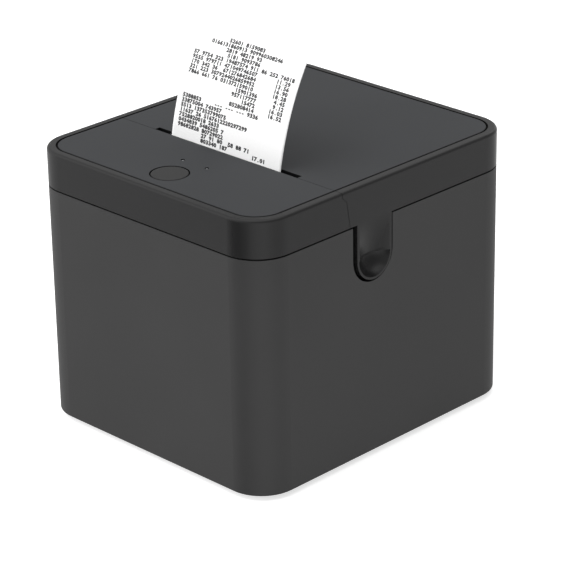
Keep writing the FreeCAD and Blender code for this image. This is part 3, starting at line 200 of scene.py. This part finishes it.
def brushed(name, colour, rough, stretch=(1.0, 40.0, 40.0)):
    """Sheet metal with fine lines along one axis."""
    line_scale, line_detail, line_depth = 60.0, 4.0, 20 * MICRON
    line_shade, smoother, rougher = 0.86, 0.06, 0.08
    finish = Finish(name)
    drawn = finish.add("ShaderNodeMapping", Vector=finish.place(), Scale=stretch)
    lines = finish.noise(drawn.outputs["Vector"], line_scale, line_detail)
    base = finish.ramp(lines, shade(colour, line_shade), colour)
    gloss = finish.spread(lines, rough - smoother, rough + rougher)
    finish.show(Base_Color=base, Roughness=gloss, Metallic=1.0)
    finish.bump(lines, line_depth)
    return finish.material


def coated_paper(name, colour, fibre):
    """Paper with faint fibres and a soft sheen."""
    fibre_detail, fibre_shade, fibre_depth = 5.0, 0.965, 10 * MICRON
    smooth, rough, level = 0.55, 0.7, 0.3
    finish = Finish(name)
    fine = finish.noise(finish.place(), 1.0 / fibre, fibre_detail)
    base = finish.ramp(fine, shade(colour, fibre_shade), colour)
    finish.show(Base_Color=base, Roughness=finish.spread(fine, smooth, rough), Specular_IOR_Level=level)
    finish.bump(fine, fibre_depth)
    return finish.material


def wound_paper(name, colour, pitch, axis):
    """Paper on a roll: plain on its rim, and with fine rings about the roll's axis on its ends."""
    ring_shade, ring_start, ring_end, ring_depth = 0.9, 0.1, 0.6, 30 * MICRON
    gloss_scale, smooth, rough = 900.0, 0.6, 0.75
    finish = Finish(name)
    centred = finish.add("ShaderNodeMapping", Vector=finish.place(), Location=(0.0, -axis.y, -axis.z),
                         Scale=(0.0, 1.0, 1.0))
    reach = finish.add("ShaderNodeVectorMath", Vector=centred.outputs["Vector"])
    reach.operation = "LENGTH"
    turns = finish.calculate("MULTIPLY", reach.outputs["Value"], 2 * math.pi / pitch)
    wave = finish.calculate("SINE", turns)
    rings = finish.spread(wave, 0.0, 1.0, -1.0, 1.0)
    base = finish.ramp(rings, shade(colour, ring_shade), colour, ring_start, ring_end)
    fine = finish.noise(finish.place(), gloss_scale)
    finish.show(Base_Color=base, Roughness=finish.spread(fine, smooth, rough))
    finish.bump(wave, ring_depth)
    return finish.material


def circuit_board(name, colour):
    """Solder mask over faint copper runs."""
    run_scale, run_width, patch_shade, run_shade = 180.0, 0.03, 0.9, 1.5
    gloss_scale, smooth, rough = 700.0, 0.3, 0.42
    finish = Finish(name)
    runs = finish.add("ShaderNodeTexBrick", Vector=finish.place(), Scale=run_scale, Mortar_Size=run_width,
                      Color1=opaque(colour), Color2=opaque(shade(colour, patch_shade)),
                      Mortar=opaque(shade(colour, run_shade)))
    fine = finish.noise(finish.place(), gloss_scale)
    finish.show(Base_Color=runs.outputs["Color"], Roughness=finish.spread(fine, smooth, rough))
    return finish.material


def speckled(name, dark, light, scale, gloss_scale, smooth, rough):
    """A thin or small thing, such as ink: two close colours and a change in gloss, each in fine specks."""
    finish = Finish(name)
    specks = finish.noise(finish.place(), scale)
    gloss = finish.noise(finish.place(), gloss_scale)
    finish.show(Base_Color=finish.ramp(specks, dark, light), Roughness=finish.spread(gloss, smooth, rough))
    return finish.material


# The printer's finishes

TOP_SHEET = dict(rough=0.6, grain=0.30 * MM, depth=10 * MICRON, level=0.27)
PLASTICS = {
    "shell_black": dict(colour=(0.0321, 0.0319, 0.0321), rough=0.46, grain=0.35 * MM, depth=12 * MICRON,
                        level=0.44),
    "upper_black": dict(colour=(0.0137, 0.0136, 0.0138), rough=0.27, grain=0.35 * MM, depth=0.6 * MICRON,
                        level=0.4, change=0.003),
    # The panel's and the button's tops set where their rims get painted shade in the groove
    "panel_black": dict(colour=(0.0338, 0.0352, 0.0376), top=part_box("lid_panel")[1].z, **TOP_SHEET),
    "button_black": dict(colour=(0.0295, 0.0295, 0.0295), top=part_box("feed_button")[1].z, **TOP_SHEET),
    "inner_black": dict(colour=(0.030, 0.030, 0.031), rough=0.55, grain=0.4 * MM, depth=20 * MICRON),
    "base_grey": dict(colour=(0.035, 0.035, 0.035), rough=0.6, grain=0.5 * MM, depth=30 * MICRON),
    "socket_black": dict(colour=(0.027, 0.027, 0.028), rough=0.5, grain=0.4 * MM, depth=10 * MICRON),
    "rubber": dict(colour=(0.027, 0.027, 0.027), rough=0.8, grain=0.6 * MM, depth=30 * MICRON, level=0.4),
    "ceramic": dict(colour=(0.60, 0.58, 0.53), rough=0.25, grain=0.6 * MM, depth=4 * MICRON),
    "gear_white": dict(colour=(0.62, 0.61, 0.57), rough=0.45, grain=0.5 * MM, depth=10 * MICRON),
    "cardboard": dict(colour=(0.36, 0.25, 0.15), rough=0.85, grain=0.7 * MM, depth=60 * MICRON,
                      level=0.2, vary=0.14),
}
METALS = {
    "steel": dict(colour=(0.62, 0.62, 0.63), rough=0.32),
    "aluminium": dict(colour=(0.75, 0.75, 0.76), rough=0.38),
    "zinc_sheet": dict(colour=(0.66, 0.67, 0.68), rough=0.4, stretch=(30.0, 30.0, 1.0)),
    "brass": dict(colour=(0.72, 0.55, 0.26), rough=0.3, stretch=(1.0, 1.0, 1.0)),
    "socket_metal": dict(colour=(0.58, 0.58, 0.58), rough=0.28, stretch=(1.0, 30.0, 1.0)),
}
SPECKLED = {
    "light_pipe": dict(dark=(0.6138, 0.6231, 0.6324), light=(0.66, 0.67, 0.68), scale=900.0,
                       gloss_scale=900.0, smooth=0.2, rough=0.3),
    "print_ink": dict(dark=(0.010, 0.010, 0.011), light=(0.022, 0.022, 0.024), scale=1800.0,
                      gloss_scale=900.0, smooth=0.5, rough=0.65),
    "mark_white": dict(dark=(0.55, 0.55, 0.54), light=(0.63, 0.63, 0.62), scale=1500.0,
                       gloss_scale=1500.0, smooth=0.5, rough=0.6),
}
ROLL_AXIS = (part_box("roll_core")[0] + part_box("roll_core")[1]) / 2

FINISHES = {name: moulded(name, **look) for name, look in PLASTICS.items()}
FINISHES.update((name, brushed(name, **look)) for name, look in METALS.items())
FINISHES.update((name, speckled(name, **look)) for name, look in SPECKLED.items())
FINISHES["paper"] = coated_paper("paper", colour=(0.94, 0.94, 0.938), fibre=0.4 * MM)
FINISHES["wound_paper"] = wound_paper("wound_paper", colour=(0.76, 0.76, 0.75), pitch=0.9 * MM,
                                      axis=ROLL_AXIS)
FINISHES["board_green"] = circuit_board("board_green", colour=(0.02, 0.11, 0.045))

# Nodes that look different from the rest of their slot
OWN_FINISH = {
    "front_cover": "upper_black",
    "lid_shell": "upper_black",
    "feed_button": "button_black",
    "paper_roll": "wound_paper",
}

for name, thing in NODES.items():
    thing.data.materials.clear()
    thing.data.materials.append(FINISHES[OWN_FINISH.get(name, SLOT_OF[name])])


# Receipt: a curling strip of paper with rows of printed figures

class PaperPath:
    """The paper's line in the YZ plane: straight up behind the head, a bend at the slot and a slow curl."""

    def __init__(self, back_y, bend_z, bend_radius, curl_radius, lean, end):
        self.bend_radius = bend_radius
        self.curl_radius = curl_radius
        self.lean = lean
        self.bend = (back_y + bend_radius, bend_z)
        extra = curl_radius - bend_radius
        self.curl = (self.bend[0] + extra * math.cos(lean), bend_z - extra * math.sin(lean))
        self.bend_length = bend_radius * lean
        self.length = self.bend_length + curl_radius * (end - lean)

    def at(self, along, lift):
        """A point and its outward normal, from a length past the bend's start and a height over the back."""
        if along < 0:
            return (self.bend[0] - self.bend_radius - lift, self.bend[1] + along), (-1.0, 0.0)
        if along < self.bend_length:
            centre, radius, angle = self.bend, self.bend_radius, along / self.bend_radius
        else:
            centre, radius = self.curl, self.curl_radius
            angle = self.lean + (along - self.bend_length) / self.curl_radius
        reach = radius + lift
        normal = (-math.cos(angle), math.sin(angle))
        return (centre[0] + reach * normal[0], centre[1] + reach * normal[1]), normal


RECEIPT_LOW, RECEIPT_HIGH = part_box("receipt")
PLATEN_LOW, PLATEN_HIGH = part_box("platen_rubber")
PLATEN_MIDDLE = (PLATEN_LOW + PLATEN_HIGH) / 2
NIP_GAP = 0.1 * MM
BEND_RISE = 5.6 * MM
PAPER_THICK = 0.15 * MM
PAPER_HALF = (RECEIPT_HIGH.x - RECEIPT_LOW.x) / 2
# How much shorter the paper is at its left edge than at its right
TIP_SLANT = 4.988 * MM
TOOTH_HEIGHT = 0.12 * MM
TOOTH_PITCH = 2.0 * MM
# The wave's turn is in radians, from the paper's middle to its edge and along its length
WAVE_HEIGHT = 0.12 * MM
WAVE_ACROSS = 4.2
WAVE_ALONG = 5.0
PATH = PaperPath(back_y=PLATEN_LOW.y - NIP_GAP, bend_z=PLATEN_MIDDLE.z + BEND_RISE, bend_radius=40 * MM,
                 curl_radius=110 * MM, lean=math.radians(10.0), end=math.radians(38.8))


def paper_point(x, along, lift):
    """A point on the paper, with a faint wave across it that grows away from the slot."""
    free = max(0.0, along - PATH.bend_length) / PATH.length
    wave = WAVE_HEIGHT * free * math.sin(x / PAPER_HALF * WAVE_ACROSS + along / PATH.length * WAVE_ALONG)
    (y, z), normal = PATH.at(along, lift)
    return Vector((x, y + wave * normal[0], z + wave * normal[1]))


def tip_along(x):
    """Where the paper ends: a slanting tear with small teeth, inside the solid's own end."""
    share = (PAPER_HALF - x) / (2 * PAPER_HALF)
    teeth = TOOTH_HEIGHT * (1.0 - math.cos(2 * math.pi * x / TOOTH_PITCH))
    return PATH.length - TIP_SLANT * share - teeth - WAVE_HEIGHT


def new_object(name, data):
    thing = bpy.data.objects.new(name, data)
    bpy.context.scene.collection.objects.link(thing)
    return thing


def new_piece(name, vertices, faces, finish, body, smooth=True):
    """A mesh of these points and faces that rides on a body."""
    mesh = bpy.data.meshes.new(name)
    mesh.from_pydata(vertices, [], faces)
    mesh.polygons.foreach_set("use_smooth", [smooth] * len(faces))
    mesh.update()
    mesh.materials.append(FINISHES[finish])
    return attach(new_object(name, mesh), body)


def receipt_paper():
    """The paper from the print line to its torn end, as a grid on each side and a rim round them."""
    across, up = 58, 60
    start = PLATEN_MIDDLE.z - PATH.bend[1]
    vertices = []
    for lift in (0.0, PAPER_THICK):
        for j in range(up + 1):
            for i in range(across + 1):
                x = PAPER_HALF * (2 * i / across - 1)
                along = start + (tip_along(x) - start) * j / up
                vertices.append(paper_point(x, along, lift))
    layer = (across + 1) * (up + 1)

    def index(side, i, j):
        return side * layer + j * (across + 1) + i

    faces = []
    for j in range(up):
        for i in range(across):
            quad = [(i, j), (i + 1, j), (i + 1, j + 1), (i, j + 1)]
            faces.append([index(1, *corner) for corner in quad])
            faces.append([index(0, *corner) for corner in reversed(quad)])
    rim = [(i, 0) for i in range(across)] + [(across, j) for j in range(up)]
    rim += [(i, up) for i in range(across, 0, -1)] + [(0, j) for j in range(up, 0, -1)]
    for here, follow in zip(rim, rim[1:] + rim[:1]):
        faces.append([index(0, *here), index(0, *follow), index(1, *follow), index(1, *here)])
    thing = new_piece("receipt_paper", vertices, faces, "paper", "lid")
    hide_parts("receipt")
    thing.visible_glossy = False


def glyphs(characters, height):
    """Flat bold outlines of the figures, each as its points and faces, in the built-in typeface."""
    figure_height, bold, widen = 0.73, 0.06, 1.25
    scale = height / figure_height
    shapes = {}
    for character in characters:
        curve = bpy.data.curves.new("figure", "FONT")
        curve.body = character
        curve.offset = bold
        curve.resolution_u = 2
        holder = bpy.data.objects.new("figure", curve)
        mesh = bpy.data.meshes.new_from_object(holder)
        points = [vertex.co * scale for vertex in mesh.vertices]
        middle = (min(point.x for point in points) + max(point.x for point in points)) / 2
        flat = [((point.x - middle) * widen, point.y) for point in points]
        shapes[character] = (flat, [tuple(polygon.vertices) for polygon in mesh.polygons])
        bpy.data.objects.remove(holder)
        bpy.data.curves.remove(curve)
        bpy.data.meshes.remove(mesh)
    return shapes


def receipt_rows(columns):
    """Rows of plain figures laid out as a till lays them out: heading, goods, sums, notes and change.
    The numbers are the lengths of the groups of figures, whose values are drawn at random."""
    seed, highest_price = 7, 19
    name_width, price_width, margin = 12, 5, 8
    draw = random.Random(seed)

    def figures(*lengths):
        return " ".join("".join(draw.choice("0123456789") for _ in range(length)) for length in lengths)

    def price():
        return ("%d.%s" % (draw.randint(0, highest_price), figures(2))).rjust(price_width)

    def two_columns(name, code):
        return figures(*name).ljust(name_width) + figures(*code)

    rows = [figures(*lengths).center(columns) for lengths in ((5, 7), (13, 12), (4, 5, 2), (4, 7))]
    rows.append(two_columns((2, 4, 3), (8, 3, 2, 3, 5)))
    for name in ((4, 6), (3, 3, 2), (3, 3, 4), (4, 3, 2)):
        rows.append(two_columns(name, (12,)).ljust(columns - price_width) + price())
    for length in (8, 9, 5, 9):
        rows.append(figures(length).rjust(columns - 2 * price_width) + " " * price_width + price())
    rows.append(figures(7).ljust(name_width) + "--- --- --- " + figures(4))
    for lengths in ((8, 6), (4, 12), (5, 2, 16), (10, 4), (7, 7, 1), (8, 8)):
        rows.append(figures(*lengths))
    rows.append((figures(2, 2, 2) + "  " + figures(2, 2, 2)).center(columns))
    rows.append(figures(6, 3).center(columns - margin) + price())
    return rows


def receipt_print():
    """The figures as thin flat ink, laid on the paper's front."""
    columns = 36
    height, pitch, spacing = 1.5 * MM, 1.42 * MM, 1.86 * MM
    top_margin, shift, ink_lift = 15.1 * MM, -0.7 * MM, 0.012 * MM
    first = PATH.length - top_margin
    lift = PAPER_THICK + ink_lift
    shapes = glyphs("0123456789.-", height)
    vertices, faces = [], []
    for row, text in enumerate(receipt_rows(columns)):
        along = first - row * spacing
        for column, character in enumerate(text):
            if character not in shapes:
                continue
            points, outlines = shapes[character]
            middle = (column - (columns - 1) / 2) * pitch + shift
            base = len(vertices)
            vertices += [paper_point(middle + x, along + y, lift) for x, y in points]
            faces += [[base + i for i in outline] for outline in outlines]
    thing = new_piece("receipt_print", vertices, faces, "print_ink", "lid", smooth=False)


receipt_paper()
receipt_print()


# Sockets: a moulded lining in each, and the contacts that a plug meets

def bar(vertices, faces, back, front, half_x, half_z):
    """A bar from its back end to its front end, each given as the middle of a face across Y."""
    base = len(vertices)
    for end in (back, front):
        for x, z in ((-half_x, -half_z), (half_x, -half_z), (half_x, half_z), (-half_x, half_z)):
            vertices.append(end + Vector((x, 0.0, z)))
    sides = [(0, 3, 2, 1), (4, 5, 6, 7), (0, 1, 5, 4), (1, 2, 6, 5), (2, 3, 7, 6), (3, 0, 4, 7)]
    faces.extend([base + i for i in side] for side in sides)


def moved(point, x=0.0, y=0.0, z=0.0):
    """The point moved by so many millimetres."""
    return point + Vector((x, y, z)) * MM


# How far in front of a socket's back its contacts start. The sizes named here and in the next three functions
# are in millimetres, as moved takes them.
CONTACT_START = 0.5


def socket_lining(lining, back, front, half_x, half_z):
    """The end wall and the four side walls of a socket's mouth."""
    wall = 0.4
    half_wall = wall / 2 * MM
    bar(*lining, back, moved(back, y=wall), half_x, half_z)
    for side in (-1, 1):
        shift = Vector((side * (half_x - half_wall), 0.0, 0.0))
        bar(*lining, back + shift, front + shift, half_wall, half_z)
        shift = Vector((0.0, 0.0, side * (half_z - half_wall)))
        bar(*lining, back + shift, front + shift, half_x - wall * MM, half_wall)


def usb_tongue(lining, contacts, back):
    """The block in the middle of the usb socket, with two flat contacts above and two below."""
    tongue_length, tongue_half_x, tongue_half_z = 8.4, 2.8, 1.3
    contact_end, contact_x, contact_z, contact_half_x, contact_half_z = 7.6, 1.25, 1.36, 0.45, 0.07
    bar(*lining, back, moved(back, y=tongue_length), tongue_half_x * MM, tongue_half_z * MM)
    for z in (-contact_z, contact_z):
        for x in (-contact_x, contact_x):
            start, end = moved(back, x, CONTACT_START, z), moved(back, x, contact_end, z)
            bar(*contacts, start, end, contact_half_x * MM, contact_half_z * MM)


def spring_contacts(contacts, count, back, front, half_z):
    """A row of slanting wires, as in a telephone socket."""
    pitch, half_wire, start_drop, end_inset, top_gap = 1.02, 0.2, 0.6, 1.6, 0.9
    for index in range(count):
        x = (index - (count - 1) / 2) * pitch
        start = moved(back, x, CONTACT_START, -start_drop)
        end = moved(front, x, -end_inset, half_z / MM - top_gap)
        bar(*contacts, start, end, half_wire * MM, half_wire * MM)


def sockets():
    """All the linings as one piece and all the contacts as another."""
    lip = 0.3 * MM
    wire_count = {"lan": 8, "drawer": 6}
    lining, contacts = ([], []), ([], [])
    for name in ("usb", "lan", "drawer"):
        low, high = OPENINGS[name + "_mouth"]
        middle = (low + high) / 2
        half_x, half_z = (high.x - low.x) / 2, (high.z - low.z) / 2
        back = Vector((middle.x, low.y, middle.z))
        front = Vector((middle.x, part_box(name + "_socket")[1].y - lip, middle.z))
        socket_lining(lining, back, front, half_x, half_z)
        if name == "usb":
            usb_tongue(lining, contacts, back)
        else:
            spring_contacts(contacts, wire_count[name], back, front, half_z)
    new_piece("socket_linings", *lining, "socket_black", "base", smooth=False)
    new_piece("socket_contacts", *contacts, "brass", "base", smooth=False)


sockets()


# Head springs

def head_springs():
    """Two wound springs that press the print head on the platen."""
    low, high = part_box("head_springs")
    reach = (high.z - low.z) / 2
    wire, turns, steps, ring = 0.28 * MM, 7, 168, 10
    length = high.y - low.y - 2 * wire
    vertices, faces = [], []
    for x in (low.x + reach, high.x - reach):
        base = len(vertices)
        for i in range(steps + 1):
            turn = 2 * math.pi * turns * i / steps
            out = Vector((math.cos(turn), 0.0, math.sin(turn)))
            middle = Vector((x, low.y + wire + length * i / steps, low.z + reach)) + out * (reach - wire)
            for j in range(ring):
                angle = 2 * math.pi * j / ring
                rise = Vector((0.0, wire * math.sin(angle), 0.0))
                vertices.append(middle + out * (wire * math.cos(angle)) + rise)
        for i in range(steps):
            here, follow = base + i * ring, base + (i + 1) * ring
            for j in range(ring):
                beside = (j + 1) % ring
                faces.append([here + j, follow + j, follow + beside, here + beside])
        faces.append([base + j for j in range(ring)])
        faces.append([base + steps * ring + j for j in reversed(range(ring))])
    thing = new_piece("head_spring_coils", vertices, faces, "steel", "base")
    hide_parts("head_springs")
    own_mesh(thing)


head_springs()


# Rocker marks

def rocker_faces():
    """The middle and the outward direction of each of the rocker's two slanting faces."""
    facing_out = 0.8
    groups = {}
    for polygon in NODES["power_rocker"].data.polygons:
        if polygon.normal.y > facing_out:
            groups.setdefault(round(polygon.normal.z, 2), []).append(polygon)
    areas = {slope: sum(polygon.area for polygon in group) for slope, group in groups.items()}
    for slope in sorted(areas, key=areas.get)[-2:]:
        group = groups[slope]
        middle = sum((polygon.center * polygon.area for polygon in group), Vector()) / areas[slope]
        yield middle, group[0].normal.copy()


def rocker_marks():
    """The bar and ring printed on the two faces of the power rocker."""
    lift = 0.015 * MM
    bar_half_x, bar_half_z = 0.35 * MM, 1.6 * MM
    ring_inner, ring_outer, ring_steps = 1.0 * MM, 1.6 * MM, 40
    low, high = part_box("power_rocker")
    waist = (low.z + high.z) / 2
    side = Vector((1.0, 0.0, 0.0))
    vertices, faces = [], []
    for face_middle, normal in rocker_faces():
        middle = face_middle + normal * lift
        up = side.cross(normal)
        base = len(vertices)
        if middle.z > waist:
            for x, z in ((-bar_half_x, -bar_half_z), (bar_half_x, -bar_half_z), (bar_half_x, bar_half_z),
                         (-bar_half_x, bar_half_z)):
                vertices.append(middle + side * x + up * z)
            faces.append([base, base + 3, base + 2, base + 1])
        else:
            for i in range(ring_steps):
                angle = 2 * math.pi * i / ring_steps
                way = side * math.cos(angle) + up * math.sin(angle)
                vertices.extend((middle + way * ring_inner, middle + way * ring_outer))
            for i in range(ring_steps):
                here, follow = base + 2 * i, base + 2 * ((i + 1) % ring_steps)
                faces.append([here, follow, follow + 1, here + 1])
    thing = new_piece("rocker_marks", vertices, faces, "mark_white", "rocker", smooth=False)


rocker_marks()


# Floor, lights, room and camera

MIDDLE = (CAD_BOX[0] + CAD_BOX[1]) / 2


def studio_floor(half):
    """A white floor that glows a little, so that it keeps only a thin shadow, as in the photograph."""
    dark, light, drift_scale = (0.63, 0.63, 0.63), (0.65, 0.65, 0.65), 3.0
    finish = Finish("studio_floor")
    drift = finish.noise(finish.place(), drift_scale)
    finish.show(Base_Color=finish.ramp(drift, dark, light), Roughness=1.0, Specular_IOR_Level=0.0,
                Emission_Color=grey(1.0), Emission_Strength=0.67)
    mesh = bpy.data.meshes.new("studio_floor")
    corners = [(-half, -half, 0), (half, -half, 0), (half, half, 0), (-half, half, 0)]
    mesh.from_pydata(corners, [], [(0, 1, 2, 3)])
    mesh.materials.append(finish.material)
    thing = new_object("studio_floor", mesh)
    thing.visible_glossy = False
    thing.visible_shadow = False


def softbox(name, where, width, power):
    """A square light that faces the printer and isn't seen in its gloss."""
    lamp = bpy.data.lights.new(name, "AREA")
    lamp.shape = "SQUARE"
    lamp.size = width
    lamp.energy = power
    thing = new_object(name, lamp)
    thing.location = where
    thing.rotation_euler = (MIDDLE - Vector(where)).to_track_quat("-Z", "Y").to_euler()
    thing.visible_glossy = False


def room_level(nodes, turn, stops):
    """A brightness that changes smoothly with the heading, from stops of a heading and a level."""
    node = nodes.add("ShaderNodeValToRGB", Fac=turn)
    levels = node.color_ramp
    levels.interpolation = "EASE"
    for heading, level in stops:
        levels.elements.new((heading + 180.0) / 360.0).color = grey(level)
    levels.elements.remove(levels.elements[-1])
    levels.elements.remove(levels.elements[0])
    return node.outputs["Color"]


def studio_room(below, above, overhead):
    """A plain room whose brightness changes with the heading, in degrees from +X towards +Y, in one way
    below the horizon and in another above it. Far below it is dim, and the camera itself sees white."""
    # Sines of the elevations between which each change of brightness takes place
    horizon, ceiling, ground = (-0.1, 0.2), (0.76, 0.92), (-0.8, -0.45)
    ground_level = 0.2
    world = bpy.data.worlds.new("studio")
    world.use_nodes = True
    nodes = NodeTree(world.node_tree)
    way = nodes.axes(nodes.place("Generated"))
    turn = nodes.spread(nodes.calculate("ARCTAN2", way["Y"], way["X"]), 0.0, 1.0, -math.pi, math.pi)
    above_horizon = nodes.spread(way["Z"], 0.0, 1.0, *horizon)
    walls = nodes.mix(above_horizon, room_level(nodes, turn, below), room_level(nodes, turn, above))
    room = nodes.mix(nodes.spread(way["Z"], 0.0, 1.0, *ceiling), walls, grey(overhead))
    seen = nodes.add("ShaderNodeLightPath").outputs["Is Camera Ray"]
    nodes.give(world.node_tree.nodes["Background"], Color=nodes.mix(seen, room, grey(1.0)),
               Strength=nodes.spread(way["Z"], ground_level, 1.0, *ground))
    bpy.context.scene.world = world


def studio_camera(azimuth, elevation, roll, focal_px, image_px, where):
    """The photograph's own view: its heading, its height above the horizon, its tilt and focal length."""
    az, el, tilt = (math.radians(angle) for angle in (azimuth, elevation, roll))
    ahead = Vector((-math.sin(az) * math.cos(el), math.cos(az) * math.cos(el), -math.sin(el)))
    right = Vector((math.cos(az), math.sin(az), 0.0))
    up = right.cross(ahead)
    side = math.cos(tilt) * right + math.sin(tilt) * up
    top = -math.sin(tilt) * right + math.cos(tilt) * up
    lens = bpy.data.cameras.new("studio_camera")
    lens.sensor_width = 36.0
    lens.lens = focal_px / image_px * lens.sensor_width
    thing = new_object("studio_camera", lens)
    turn = Matrix((side, top, -ahead)).transposed()
    thing.matrix_world = Matrix.Translation(where) @ turn.to_4x4()
    bpy.context.scene.camera = thing


studio_floor(half=4.0)
softbox("key_left", where=(-1.25, -1.15, 1.5), width=3.6, power=61.0)
softbox("fill_right", where=(1.3, 0.5, 1.1), width=2.0, power=1.6)
softbox("top", where=(0.0, 0.0, 1.8), width=1.6, power=13.0)
studio_room(
    below=[(-175, 0.54), (-140, 0.62), (-132, 0.55), (-123, 0.08), (-110, 0.0), (-96, 0.0), (-80, 0.18),
           (-58, 0.70), (-40, 0.88), (-25, 0.95), (0, 0.66), (20, 0.58), (45, 0.63), (85, 0.54), (125, 1.0),
           (175, 0.58)],
    above=[(-175, 0.60), (-148, 1.0), (-110, 0.65), (-60, 0.40), (0, 0.28), (57, 0.30), (92, 0.40),
           (112, 0.80), (130, 0.42), (145, 0.40), (175, 0.50)],
    overhead=1.0)
bpy.context.scene.view_settings.view_transform = "Standard"
studio_camera(azimuth=44.826, elevation=23.8547, roll=-0.9527, focal_px=2688.0, image_px=580.0,
              where=Vector((671.43, -667.90, 465.35)) * MM)
